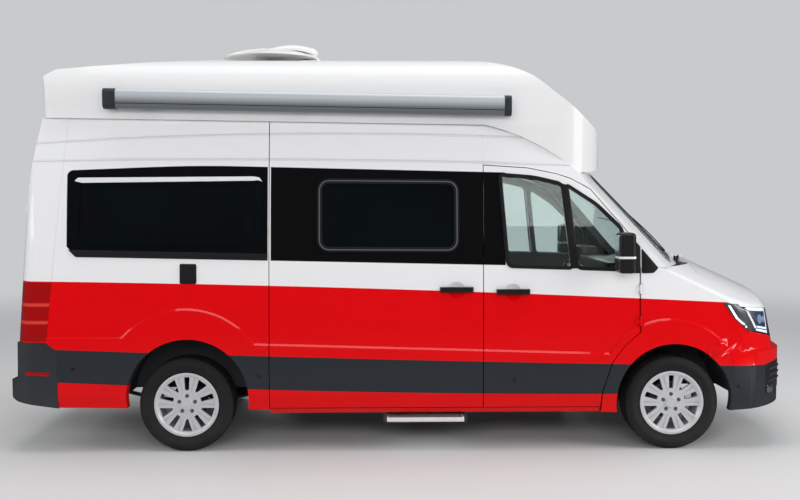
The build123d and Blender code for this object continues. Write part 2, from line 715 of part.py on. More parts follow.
# Front doors and the cab frame around them.
light_cut = rounded_prism(DOOR_LIGHT, 25, 0, SIDE)
quarter_cut = rounded_prism(QUARTER_LIGHT, 25, 0, SIDE)
front_region = side_prism(FRONT_DOOR, 0, SIDE)
front_relief = [hinge_relief(p, HINGE_RADIUS + 6) for p in front_planes]
front_moving = [hinge_leaf(p, [(-34, 0, -14, -3)], False) for p in front_planes]
front_fixed = [hinge_leaf(p, [(0, 34, -14, -3)], True) for p in front_planes]
front_cup = handle_cup(*FRONT_HANDLE, 1)
with BuildPart() as front_door_left:
    add(wall)
    add(front_region, mode=Mode.INTERSECT)
    for cut in (light_cut, quarter_cut, front_cup):
        add(cut, mode=Mode.SUBTRACT)
    for relief in front_relief:
        add(relief, mode=Mode.SUBTRACT)
    for leaf in front_moving:
        add(leaf)
save(front_door_left.part, "front_door_left")
with BuildPart() as front_door_right:
    add(right_side(front_door_left.part))
save(front_door_right.part, "front_door_right")

door_clear = rounded_prism(FRONT_DOOR, 0, -SIDE, SIDE, SHUT_GAP)
frame_zone = block((SLIDE_FRONT_X - SHUT_GAP / 2 + SEAM, at(2700)), (-SIDE, SIDE), (COWL_Z, 2700))
with BuildPart() as cab_frame:
    add(wall)
    add(frame_zone, mode=Mode.INTERSECT)
    add(door_clear, mode=Mode.SUBTRACT)
    add(screen_cut, mode=Mode.SUBTRACT)
save(cab_frame.part, "cab_frame")

# Glass.
with BuildPart() as windscreen:
    add(pane_layer)
    add(screen_pane, mode=Mode.INTERSECT)
save(windscreen.part, "windscreen")


def pane(points, radius, y_low, y_high):
    """Glass for one window outline."""
    shape = rounded_prism(points, radius, y_low, y_high, -SEAM)
    with BuildPart() as glass:
        add(pane_layer)
        add(shape, mode=Mode.INTERSECT)
    return glass.part


side_panes = [pane(REAR_WINDOW, WINDOW_RADIUS, -SIDE, 0), pane(REAR_WINDOW, WINDOW_RADIUS, 0, SIDE),
              pane(MID_WINDOW, WINDOW_RADIUS, -SIDE, 0), pane(MID_WINDOW, WINDOW_RADIUS, 0, SIDE)]
with BuildPart() as side_glass:
    for sheet in side_panes:
        add(sheet)
save(side_glass.part, "side_glass")

door_panes = [pane(DOOR_LIGHT, 25, 0, SIDE), pane(QUARTER_LIGHT, 25, 0, SIDE)]
with BuildPart() as door_glass_left:
    for sheet in door_panes:
        add(sheet)
save(door_glass_left.part, "door_glass_left")
with BuildPart() as door_glass_right:
    add(right_side(door_glass_left.part))
save(door_glass_right.part, "door_glass_right")

back_pane = block((FAR_REAR, TAIL_INSIDE), (BACK_LIGHT_Y[0] + SEAM, BACK_LIGHT_Y[1] - SEAM),
                  (BACK_LIGHT_Z[0] + SEAM, BACK_LIGHT_Z[1] - SEAM))
back_pane = fillet(back_pane.edges().filter_by(Axis.X), WINDOW_RADIUS - SEAM)
with BuildPart() as rear_glass_left:
    add(pane_layer)
    add(back_pane, mode=Mode.INTERSECT)
save(rear_glass_left.part, "rear_glass_left")
with BuildPart() as rear_glass_right:
    add(right_side(rear_glass_left.part))
save(rear_glass_right.part, "rear_glass_right")

# High roof.
with BuildPart() as high_roof:
    add(roof_outer)
    add(roof_inner, mode=Mode.SUBTRACT)
save(high_roof.part, "high_roof")

# Front wings, bonnet, cowl, lamps, grille and front bumper.
bonnet_region = side_prism(BONNET_SIDE, -SIDE, SIDE)
bonnet_plan = plan_prism(BONNET_PLAN, 0, 900, 1600)
bonnet_clear = plan_prism(BONNET_PLAN, SHUT_GAP, 900, 1600)
bonnet_hinge = Plane((BONNET_HINGE[0], BONNET_HINGE_Y, BONNET_HINGE[1]), x_dir=(-1, 0, 0), z_dir=(0, 1, 0))
bonnet_relief = both_sides(hinge_relief(bonnet_hinge, HINGE_RADIUS + 6))
bonnet_moving = both_sides(hinge_leaf(bonnet_hinge, [(-30, 0, -9, 9)], False))
bonnet_fixed = both_sides(hinge_leaf(bonnet_hinge, [(3, 18, -42, 0)], True))
with BuildPart() as bonnet:
    add(nose_wall)
    add(bonnet_region, mode=Mode.INTERSECT)
    add(bonnet_plan, mode=Mode.INTERSECT)
    add(bonnet_relief, mode=Mode.SUBTRACT)
    add(bonnet_moving)
save(bonnet.part, "bonnet")

wing_region = side_prism(WING_SIDE, 500, SIDE)
with BuildPart() as wing_left:
    add(nose_wall)
    add(wing_region, mode=Mode.INTERSECT)
    add(bonnet_clear, mode=Mode.SUBTRACT)
    add(arch_front, mode=Mode.SUBTRACT)
    for relief in front_relief:
        add(relief, mode=Mode.SUBTRACT)
    for leaf in front_fixed:
        add(leaf)
save(wing_left.part, "wing_left")
with BuildPart() as wing_right:
    add(right_side(wing_left.part))
save(wing_right.part, "wing_right")

lamp_region = side_prism(HEADLAMP_SIDE, GRILLE_HALF + SEAM, SIDE)
with BuildPart() as headlamps:
    add(nose_wall)
    add(lamp_region, mode=Mode.INTERSECT)
    mirror(about=Plane.XZ)
save(headlamps.part, "headlamps")

grille_zone = block((at(2600), FAR_FRONT), (-GRILLE_HALF, GRILLE_HALF), GRILLE_Z)
with BuildPart() as grille:
    add(nose_wall)
    add(grille_zone, mode=Mode.INTERSECT)
    pitch = (GRILLE_Z[1] - GRILLE_Z[0]) / GRILLE_BARS
    with Locations([(at(2900), 0, GRILLE_Z[0] + pitch * (n + 0.5)) for n in range(GRILLE_BARS)]):
        Box(600, 2 * GRILLE_HALF - 60, pitch - GRILLE_BAR, mode=Mode.SUBTRACT)
    for y in (-260, 0, 260):
        with Locations((FRONT_X - NOSE_SETBACK - 75, y, sum(GRILLE_Z) / 2)):
            Box(22, 24, GRILLE_Z[1] - GRILLE_Z[0] - 8)
save(grille.part, "grille")

bumper_region = side_prism(FRONT_BUMPER_SIDE, -SIDE, SIDE)
grille_clear = block((at(2500), FAR_FRONT), (-GRILLE_HALF - SEAM, GRILLE_HALF + SEAM), (GRILLE_Z[0] - SEAM, 1200))
with BuildPart() as front_bumper:
    add(nose_wall)
    add(bumper_region, mode=Mode.INTERSECT)
    add(arch_front, mode=Mode.SUBTRACT)
    add(grille_clear, mode=Mode.SUBTRACT)
    with Locations([(at(2950), 0, z) for z in BUMPER_SLOT_Z]):
        Box(500, 2 * BUMPER_SLOT_HALF, BUMPER_SLOT, mode=Mode.SUBTRACT)
save(front_bumper.part, "front_bumper")

cowl_zone = block(COWL_SPAN, (-SIDE, SIDE), (1000, COWL_Z - SEAM))
cowl_width = block(COWL_SPAN, (-750, 750), (1000, 1500))
cowl_plate = block(COWL_SPAN, (-922, 922), (COWL_Z - 40, COWL_Z - SEAM))
with BuildPart() as cowl_skin:
    add(nose_outer)
    add(cowl_plate, mode=Mode.INTERSECT)
with BuildPart() as cowl:
    add(nose_wall)
    add(cowl_zone, mode=Mode.INTERSECT)
    add(cowl_width, mode=Mode.INTERSECT)
    add(cowl_skin.part)
    add(wing_left.part, mode=Mode.SUBTRACT)
    add(wing_right.part, mode=Mode.SUBTRACT)
    add(bonnet_fixed)
save(cowl.part, "cowl")

# Rear bumper.
rear_bumper_side = side_prism(REAR_BUMPER, -SIDE, SIDE)
with BuildPart() as rear_bumper:
    with BuildSketch(Plane.XY.offset(300)):
        with Locations((REAR_X + BUMPER_LONG / 2, 0)):
            Rectangle(BUMPER_LONG, 2 * (HALF_WIDTH + FLARE - 4))
        fillet([v for v in vertices() if v.X < REAR_X + BUMPER_WALL], REAR_BUMPER_RADIUS)
    extrude(amount=600)
    with BuildSketch(Plane.XY.offset(250)):
        with Locations((REAR_X + BUMPER_WALL + 60 + BUMPER_LONG / 2, 0)):
            Rectangle(BUMPER_LONG, 2 * (HALF_WIDTH + FLARE - BUMPER_WALL))
        fillet([v for v in vertices() if v.X < REAR_X + BUMPER_LONG / 2], REAR_BUMPER_INSIDE)
    extrude(amount=700, mode=Mode.SUBTRACT)
    add(rear_bumper_side, mode=Mode.INTERSECT)
    with Locations((at(-2800), 0, 900)):
        Box(800, 2 * POST_Y, 2 * (900 - 560), mode=Mode.SUBTRACT)
save(rear_bumper.part, "rear_bumper")

# Floor, sills and chassis.
front_well = both_sides(cross_drum(ARCH_FRONT[0], ARCH_FRONT[1], ARCH_FRONT[2] + 8 + LINER + SEAM, 520 - SEAM, SIDE))
rear_well = both_sides(cross_drum(ARCH_REAR[0], ARCH_REAR[1], ARCH_REAR[2] + LINER + SEAM, 690 - SEAM, SIDE))
firewall = block((at(1700), at(1730)), (-905, 905), (FLOOR_Z[0], COWL_Z - 41))
with BuildPart() as floor_pan:
    add(block((FLOOR_REAR, SLIDE_FRONT_X - SHUT_GAP), (-929.6, 929.6), FLOOR_Z))
    add(block((FLOOR_REAR, at(1700)), (-912, 912), FLOOR_Z))
    add(firewall)
    add(front_well, mode=Mode.SUBTRACT)
    add(rear_well, mode=Mode.SUBTRACT)
save(floor_pan.part, "floor_pan")

with BuildPart() as sills:
    for start, y_dir in ((SLIDE_REAR_X, -1), (SLIDE_FRONT_X, 1)):
        with BuildSketch(Plane.YZ.offset(start + SEAM)):
            with BuildLine():
                Polyline(*[(y_dir * y, z) for y, z in SILL_OUTLINE], close=True)
            make_face()
        extrude(amount=at(1450) - start)
save(sills.part, "sills")

with BuildPart() as chassis:
    for y0, y1 in (RAIL_Y, (-RAIL_Y[1], -RAIL_Y[0])):
        add(block(RAIL_X, (y0, y1), RAIL_Z))
    for x0, x1 in CROSSMEMBERS:
        add(block((x0, x1), (-RAIL_Y[1], RAIL_Y[1]), (RAIL_Z[0] + 5, RAIL_Z[1] - 5)))
save(chassis.part, "chassis")

# Wheel housings.
with BuildPart() as wheel_liners:
    for (x, z, radius), inside in ((ARCH_FRONT, 530), (ARCH_REAR, 700)):
        grow = 8 if inside == 530 else 0
        add(cross_drum(x, z, radius + grow + LINER, inside - LINER, 925))
        add(cross_drum(x, z, radius + grow, inside, 1000), mode=Mode.SUBTRACT)
        add(block((x - 700, x + 700), (0, SIDE), (-300, 432)), mode=Mode.SUBTRACT)
    add(block((FRONT_AXLE - 600, FRONT_AXLE + 600), (RAIL_Y[0] - 5, RAIL_Y[1] + 5), (300, RAIL_Z[1] + 5)),
        mode=Mode.SUBTRACT)
    mirror(about=Plane.XZ)
save(wheel_liners.part, "wheel_liners")

# Front axle: crossmember, lower arms, struts, upper brackets and king pins.
with BuildPart() as front_axle:
    add(block((FRONT_AXLE - 90, FRONT_AXLE + 90), (-RAIL_Y[1], RAIL_Y[1]), (235, 330)))
    for y_dir in (-1, 1):
        arm = sorted((y_dir * 400, y_dir * (KINGPIN_Y + ARM_END)))
        bracket = sorted((y_dir * STRUT_Y, y_dir * (KINGPIN_Y + ARM_END)))
        post = sorted((y_dir * RAIL_Y[0], y_dir * RAIL_Y[1]))
        add(block((FRONT_AXLE - ARM_HALF, FRONT_AXLE + ARM_HALF), arm, (232, 256)))
        add(block((FRONT_AXLE - ARM_HALF, FRONT_AXLE + ARM_HALF), bracket, (450, 474)))
        add(block((FRONT_AXLE - 60, FRONT_AXLE + 60), post, (330, RAIL_Z[0])))
        with Locations((FRONT_AXLE, y_dir * STRUT_Y, (240 + STRUT_TOP) / 2)):
            Cylinder(34, STRUT_TOP - 240)
        with Locations((FRONT_AXLE, y_dir * KINGPIN_Y, (240 + 470) / 2)):
            Cylinder(KINGPIN, 470 - 240)
save(front_axle.part, "front_axle")

with BuildPart() as knuckle_left:
    with Locations((FRONT_AXLE, KINGPIN_Y, TYRE_RADIUS)):
        Cylinder(32, 180)
    add(cross_drum(FRONT_AXLE, TYRE_RADIUS, SPINDLE, KINGPIN_Y, WHEEL_Y + 46))
    add(cross_drum(FRONT_AXLE, TYRE_RADIUS, BRAKE_RADIUS, WHEEL_Y - 40, WHEEL_Y - 18))
    with Locations((FRONT_AXLE, KINGPIN_Y, TYRE_RADIUS)):
        Cylinder(KINGPIN + 0.3, 400, mode=Mode.SUBTRACT)
save(knuckle_left.part, "knuckle_left")
with BuildPart() as knuckle_right:
    add(right_side(knuckle_left.part))
save(knuckle_right.part, "knuckle_right")

with BuildPart() as rear_axle:
    add(cross_drum(REAR_AXLE, TYRE_RADIUS, 42, -800, 800))
    add(cross_drum(REAR_AXLE, TYRE_RADIUS, SPINDLE, -WHEEL_Y - 46, WHEEL_Y + 46))
    for y_dir in (-1, 1):
        drum = sorted((y_dir * (WHEEL_Y - 40), y_dir * (WHEEL_Y - 18)))
        add(cross_drum(REAR_AXLE, TYRE_RADIUS, BRAKE_RADIUS, *drum))
        across = sorted((y_dir * (LEAF_Y - 30), y_dir * (LEAF_Y + 30)))
        add(block((REAR_AXLE - 40, REAR_AXLE + 40), across, (296, 352)))
        with BuildSketch(Plane.XZ.offset(-y_dir * LEAF_Y - 30)):
            with BuildLine():
                low = [(REAR_AXLE - LEAF_HALF, 398), (REAR_AXLE, 298), (REAR_AXLE + LEAF_HALF, 398)]
                high = [(x, z + 16) for x, z in low]
                ThreePointArc(*low)
                ThreePointArc(*high)
                Line(low[0], high[0])
                Line(low[2], high[2])
            make_face()
        extrude(amount=60)
        for end in (-1, 1):
            x = REAR_AXLE + end * LEAF_HALF
            across = sorted((y_dir * (LEAF_Y - 32), y_dir * (LEAF_Y + 32)))
            add(block((x - 25, x + 25), across, (392, FLOOR_Z[0] - 0.3)))
save(rear_axle.part, "rear_axle")

# Wheels: tyre and rim about the Y axis, outer face towards +Y.
with BuildPart() as tyre:
    with BuildSketch(Plane.XY):
        with BuildLine():
            half = TYRE_WIDTH / 2
            bead = RIM_RADIUS + 0.3
            Polyline((bead, 0), (bead, half - 34), (RIM_RADIUS + 24, half - 9), (RIM_RADIUS + 60, half),
                     (TYRE_RADIUS - 24, half - 7), (TYRE_RADIUS - 7, half - 19), (TYRE_RADIUS, half - 36),
                     (TYRE_RADIUS, 0))
            mirror(about=Plane.XZ)
        make_face()
    revolve(axis=Axis.Y)

well = RIM_RADIUS - 22
face = RIM_DEPTH - 8
with BuildPart() as rim:
    with BuildSketch(Plane.XY):
        with BuildLine():
            Polyline((0, face - 26), (95, face - 26), (well, face - 22), (well, -RIM_DEPTH), (RIM_RADIUS, -RIM_DEPTH),
                     (RIM_RADIUS, RIM_DEPTH), (RIM_RADIUS + 8, RIM_DEPTH + 4), (RIM_RADIUS + 8, RIM_DEPTH + 12),
                     (RIM_RADIUS - 8, RIM_DEPTH + 12), (RIM_RADIUS - 20, face + 4), (CAP_RADIUS + 40, face - 2),
                     (CAP_RADIUS + 5, face), (CAP_RADIUS, face + 10), (0, face + 10), close=True)
        make_face()
    revolve(axis=Axis.Y)
    with BuildSketch(Plane.XZ.offset(-RIM_DEPTH - 40)):
        with PolarLocations(0, SPOKES, start_angle=90):
            Polygon((106, -15), (106, 15), (well - 5, 21), (well - 5, -21), align=None)
        with PolarLocations(0, SPOKES, start_angle=90 + 180 / SPOKES):
            Polygon((112, -7), (112, 7), (well - 6, 38), (well - 6, -38), align=None)
        fillet(vertices(), 6)
    extrude(amount=200, mode=Mode.SUBTRACT)
    with BuildSketch(Plane.XZ.offset(-RIM_DEPTH - 40)):
        with PolarLocations(0, 2 * SPOKES, start_angle=90 + 90 / SPOKES):
            Polygon((92, -3), (92, 3), (well - 3, 7), (well - 3, -7), align=None)
    extrude(amount=RIM_DEPTH + 40 - face + 5, mode=Mode.SUBTRACT)
    add(cross_drum(0, 0, 75, 0, RIM_DEPTH - 20))
    add(cross_drum(0, 0, HUB_BORE, -20, 50), mode=Mode.SUBTRACT)
    with BuildSketch(Plane.XZ.offset(-RIM_DEPTH - 40)):
        with PolarLocations(BOLT_CIRCLE / 2, SPOKES, start_angle=90):
            Circle(BOLT_WELL)
    extrude(amount=RIM_DEPTH + 40 - face + 16, mode=Mode.SUBTRACT)

for corner, x, y_dir in (("front_left", FRONT_AXLE, 1), ("front_right", FRONT_AXLE, -1),
                         ("rear_left", REAR_AXLE, 1), ("rear_right", REAR_AXLE, -1)):
    place = Location((x, y_dir * WHEEL_Y, TYRE_RADIUS), (0, 0, 0 if y_dir > 0 else 180))
    with BuildPart() as placed_tyre:
        with Locations(place):
            add(tyre.part)
    save(placed_tyre.part, f"tyre_{corner}")
    with BuildPart() as placed_rim:
        with Locations(place):
            add(rim.part)
    save(placed_rim.part, f"rim_{corner}")

# Engine and tank.
with BuildPart() as engine:
    add(block((at(2150), at(2600)), (-330, 330), (RAIL_Z[1] - 4.7, 1000)))
    chamfer(edges().filter_by(Axis.X), 40)
save(engine.part, "engine")
with BuildPart() as fuel_tank:
    add(block((at(-700), at(500)), (520, 840), (330, FLOOR_Z[0] - 0.3)))
    fillet(edges().filter_by(Axis.X), 40)
save(fuel_tank.part, "fuel_tank")

# Cab: dashboard, steering wheel and seats.
column_axis = Vector(*COLUMN).normalized()
with BuildPart() as dashboard:
    with BuildSketch(Plane.XZ.offset(-860)):
        with BuildLine():
            Polyline(*DASH_SIDE, close=True)
        make_face()
    extrude(amount=1720)
    with Locations(Plane(WHEEL_CENTRE, z_dir=-column_axis)):
        Cylinder(26, 330, align=(Align.CENTER, Align.CENTER, Align.MIN), mode=Mode.SUBTRACT)
save(dashboard.part, "dashboard")
with BuildPart() as steering_wheel:
    with Locations(Plane(WHEEL_CENTRE, z_dir=-column_axis)):
        Torus(185, 15)
        Cylinder(48, 40)
        Cylinder(25.7, 300, align=(Align.CENTER, Align.CENTER, Align.MIN))
        for turn in (0, 120, 240):
            with Locations(Location((0, 0, 0), (0, 0, turn + 90))):
                with Locations((105, 0, 0)):
                    Box(150, 34, 16)
save(steering_wheel.part, "steering_wheel")
with BuildPart() as cab_seats:
    for y in (-430, 430):
        for (x0, x1), half, z in SEAT_BLOCKS:
            add(block((at(x0), at(x1)), (y - half, y + half), z))
save(cab_seats.part, "cab_seats")

# Mirrors and handles, seated on the skin.
with BuildPart() as mirror_left:
    with Locations((sum(MIRROR_X) / 2, sum(MIRROR_Y) / 2, sum(MIRROR_Z) / 2)):
        Box(MIRROR_X[1] - MIRROR_X[0], MIRROR_Y[1] - MIRROR_Y[0], MIRROR_Z[1] - MIRROR_Z[0])
    fillet(edges(), 30)
    add(block((at(1560), at(1640)), (930, 1100), (1385, 1455)))
    add(outer, mode=Mode.SUBTRACT)
save(mirror_left.part, "mirror_left")
with BuildPart() as mirror_right:
    add(right_side(mirror_left.part))
save(mirror_right.part, "mirror_right")


def handle_bar(x, z, y_dir):
    y = y_dir * (HALF_WIDTH - lean_at(z) + 12)
    with BuildPart() as bar:
        with Locations((x, y, z)):
            Box(250, 44, 38)
        fillet(edges().filter_by(Axis.Z), 16)
        add(outer, mode=Mode.SUBTRACT)
    return bar.part


for name, (x, z), y_dir in (("handle_sliding", SLIDE_HANDLE, -1), ("handle_front_right", FRONT_HANDLE, -1),
                            ("handle_front_left", FRONT_HANDLE, 1)):
    bar = handle_bar(at(x), z, y_dir)
    save(bar, name)

# Awning on the right roof side, with its brackets.
slope = atan2(AWNING_REAR[1] - AWNING_FRONT[1], AWNING_FRONT[0] - AWNING_REAR[0])
awning_long = (AWNING_FRONT[0] - AWNING_REAR[0]) / cos(slope)
awning_plane = Plane((AWNING_REAR[0], sum(AWNING_Y) / 2, AWNING_REAR[1]), x_dir=(0, 1, 0),
                     z_dir=(cos(slope), 0, -sin(slope)))
with BuildPart() as awning:
    with BuildSketch(awning_plane):
        RectangleRounded(AWNING_Y[1] - AWNING_Y[0], AWNING_HEIGHT, 34)
    extrude(amount=awning_long)
save(awning.part, "awning")
with BuildPart() as awning_brackets:
    for x in (at(-1900), at(-800), at(400)):
        z = AWNING_REAR[1] - (x - AWNING_REAR[0]) * tan(slope)
        add(block((x - 60, x + 60), (AWNING_Y[1] + 0.3, -840), (z - 40, z + 40)))
    add(roof_outer, mode=Mode.SUBTRACT)
save(awning_brackets.part, "awning_brackets")

# Satellite dish: turntable, yoke and reflector lying flat.
with BuildPart() as dish_base:
    with Locations((DISH_X, 0, 2960)):
        Cylinder(150, 60)
    add(roof_outer, mode=Mode.SUBTRACT)
save(dish_base.part, "dish_base")
with BuildPart() as dish_yoke:
    with Locations((DISH_X, 0, 3000)):
        Cylinder(140, 19.2)
    for y in (-52, 52):
        add(block((DISH_PIVOT_X - 160, DISH_PIVOT_X + 11), (y - 10, y + 10), (2995, DISH_PIVOT_Z + 10)))
    add(block((DISH_X, DISH_PIVOT_X - 40), (-62, 62), (2994, 3006)))
    add(cross_drum(DISH_PIVOT_X, DISH_PIVOT_Z, DISH_PIN, -62, 62))
save(dish_yoke.part, "dish_yoke")
ball = (DISH_RADIUS**2 + 68**2) / (2 * 68)
with BuildPart() as dish:
    with BuildSketch(Plane.XZ):
        with BuildLine():
            Polyline((0, DISH_Z + 80), (0, DISH_Z), (DISH_RADIUS, DISH_Z), (DISH_RADIUS, DISH_Z + 12))
            ThreePointArc((DISH_RADIUS, DISH_Z + 12), (DISH_RADIUS / 2, DISH_Z + 80 - sag(ball, DISH_RADIUS / 2)),
                          (0, DISH_Z + 80))
        make_face()
    revolve(axis=Axis.Z)
with BuildPart() as dish_placed:
    with Locations((DISH_X, 0, 0)):
        add(dish.part)
    add(block((DISH_PIVOT_X - 70, DISH_PIVOT_X), (-41, 41), (DISH_PIVOT_Z - DISH_PIN, DISH_Z + 5)))
    add(cross_drum(DISH_PIVOT_X, DISH_PIVOT_Z, DISH_PIN + 4, -41, 41))
    add(cross_drum(DISH_PIVOT_X, DISH_PIVOT_Z, DISH_PIN + 0.4, -41, 41), mode=Mode.SUBTRACT)
save(dish_placed.part, "dish")

# Entry step below the sliding door.
with BuildPart() as step_frame:
    for x0, x1 in ((STEP_X[0] - 26, STEP_X[0]), (STEP_X[1], STEP_X[1] + 26)):
        add(block((x0, x1), (STEP_Y[0] + 40, STEP_Y[1] - 20), (STEP_Z[0] - 8, 280)))
        add(block((x0, x1), (-850, STEP_Y[1] - 20), (270, FLOOR_Z[0])))
save(step_frame.part, "step_frame")
with BuildPart() as step_tread:
    add(block((STEP_X[0] + 0.6, STEP_X[1] - 0.6), STEP_Y, STEP_Z))
    fillet(edges().filter_by(Axis.X).group_by(Axis.Y)[0], 12)
save(step_tread.part, "step_tread")
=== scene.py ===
import json
from math import atan2, cos, pi, radians, sin, sqrt

import bpy
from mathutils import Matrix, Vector
from mathutils.bvhtree import BVHTree


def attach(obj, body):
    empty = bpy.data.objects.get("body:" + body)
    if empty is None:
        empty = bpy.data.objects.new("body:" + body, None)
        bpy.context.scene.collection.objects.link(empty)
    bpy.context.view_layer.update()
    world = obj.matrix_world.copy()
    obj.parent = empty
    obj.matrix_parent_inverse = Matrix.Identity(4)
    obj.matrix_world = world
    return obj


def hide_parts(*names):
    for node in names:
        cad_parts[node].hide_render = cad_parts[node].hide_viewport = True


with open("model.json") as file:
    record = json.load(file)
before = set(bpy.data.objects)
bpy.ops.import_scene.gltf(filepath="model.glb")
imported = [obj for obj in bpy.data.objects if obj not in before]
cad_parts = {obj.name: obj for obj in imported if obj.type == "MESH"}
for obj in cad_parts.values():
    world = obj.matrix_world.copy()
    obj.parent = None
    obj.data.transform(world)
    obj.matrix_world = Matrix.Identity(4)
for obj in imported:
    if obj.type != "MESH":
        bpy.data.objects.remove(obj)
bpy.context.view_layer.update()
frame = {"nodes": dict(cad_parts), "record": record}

nodes = frame["nodes"]
bothSides = ((-1, "right"), (1, "left"))

# the van's side, in metres: half width at the widest line, and how it leans in towards the roof
bodySide = {"half": 1.0, "widest": 0.64, "shoulder": 2.435, "lean": 0.132}


def sideAt(z):
    rise = max(0.0, z - bodySide["widest"]) / (bodySide["shoulder"] - bodySide["widest"])
    return bodySide["half"] - bodySide["lean"] * rise ** 2


# small helpers for node trees
def feed(tree, socket, value):
    if isinstance(value, (int, float)):
        socket.default_value = value
    elif isinstance(value, tuple):
        socket.default_value = (*value, 1)
    else:
        tree.links.new(value, socket)


def calc(tree, operation, *values, clamp=False):
    node = tree.nodes.new("ShaderNodeMath")
    node.operation = operation
    node.use_clamp = clamp
    for socket, value in zip(node.inputs, values):
        feed(tree, socket, value)
    return node.outputs[0]


def product(tree, first, *others):
    for other in others:
        first = calc(tree, "MULTIPLY", first, other)
    return first


def opposite(tree, mask):
    return calc(tree, "SUBTRACT", 1.0, mask)


def away(tree, value, middle):
    return calc(tree, "ABSOLUTE", calc(tree, "SUBTRACT", value, middle))


# in a mix node for colours the two colours are inputs 6 and 7
def mixColour(tree, factor, first, second):
    node = tree.nodes.new("ShaderNodeMix")
    node.data_type = "RGBA"
    for place, value in ((0, factor), (6, first), (7, second)):
        feed(tree, node.inputs[place], value)
    return node.outputs[2]


def toned(colour, share):
    return tuple(share * part for part in colour)


def splitPoint(tree, point):
    node = tree.nodes.new("ShaderNodeSeparateXYZ")
    tree.links.new(point, node.inputs[0])
    return node.outputs


def noiseAt(tree, point, scale, detail, stretch=None):
    if stretch:
        mapping = tree.nodes.new("ShaderNodeMapping")
        mapping.inputs["Scale"].default_value = stretch
        tree.links.new(point, mapping.inputs["Vector"])
        point = mapping.outputs[0]
    node = tree.nodes.new("ShaderNodeTexNoise")
    node.inputs["Scale"].default_value = scale
    node.inputs["Detail"].default_value = detail
    tree.links.new(point, node.inputs["Vector"])
    return node.outputs["Fac"]


def wavesAt(tree, point, scale, direction="X"):
    node = tree.nodes.new("ShaderNodeTexWave")
    node.bands_direction = direction
    node.inputs["Scale"].default_value = scale
    tree.links.new(point, node.inputs["Vector"])
    return node.outputs["Fac"]


def curveLine(tree, x, a, b, c):
    return calc(tree, "MULTIPLY_ADD", calc(tree, "MULTIPLY_ADD", x, c, b), x, a)


def stepOver(tree, value, line, soft=0.0015):
    gap = calc(tree, "SUBTRACT", value, line)
    return calc(tree, "MULTIPLY_ADD", gap, 0.5 / soft, 0.5, clamp=True)


def newGroup(name, inputs, outputs):
    group = bpy.data.node_groups.new(name, "ShaderNodeTree")
    for label, kind, value in inputs:
        socket = group.interface.new_socket(label, in_out="INPUT", socket_type="NodeSocket" + kind)
        if value is not None:
            socket.default_value = value
    for label, kind in outputs:
        group.interface.new_socket(label, in_out="OUTPUT", socket_type="NodeSocket" + kind)
    return group, group.nodes.new("NodeGroupInput"), group.nodes.new("NodeGroupOutput")


# livery: lines are z = a + b x + c x x, in metres, measured along the body side
livery = {
    "white": (0.78, 0.78, 0.79),
    "red": (0.70, 0.001, 0.003),
    "anthracite": (0.026, 0.030, 0.036),
    "black": (0.004, 0.004, 0.0045),
    "belt": (1.2135, -0.0335, -0.0035),
    "noseBelt": (1.348, -0.12, 0.0),        # along the top edge of the head lamps
    "noseFrom": 2.402,
    "bandTop": (0.692, -0.0269, 0.0021),
    "bandLow": (0.446, -0.0191, 0.0055),
    "panelTop": (2.1, -0.0225, 0.0),
    "panelTail": (2.1984, 0.0405, 0.0),     # the panel's top edge falls towards the rear
    "panelBlend": 0.03,
    "panelLow": (1.408, -0.0205, 0.0),
    "panelRear": -2.51,
    "panelFront": 0.735,
    "panelRound": 0.045,
    "panelSide": 0.86,                      # the panel shows on the sides only, from here outwards
    "cornerAt": 1.46,                       # the panel's lower rear corner is cut off below this height
    "cornerCut": 0.075,
    "doorLine": -1.0205,                    # white strip between quarter panel and sliding door
    "doorStrip": 0.011,
    "ridges": ((2.366, -0.014, -0.0142), (2.168, -0.016, -0.006)),
    "ridgeHalf": 0.011,
    "ridgeSide": 0.80,
}


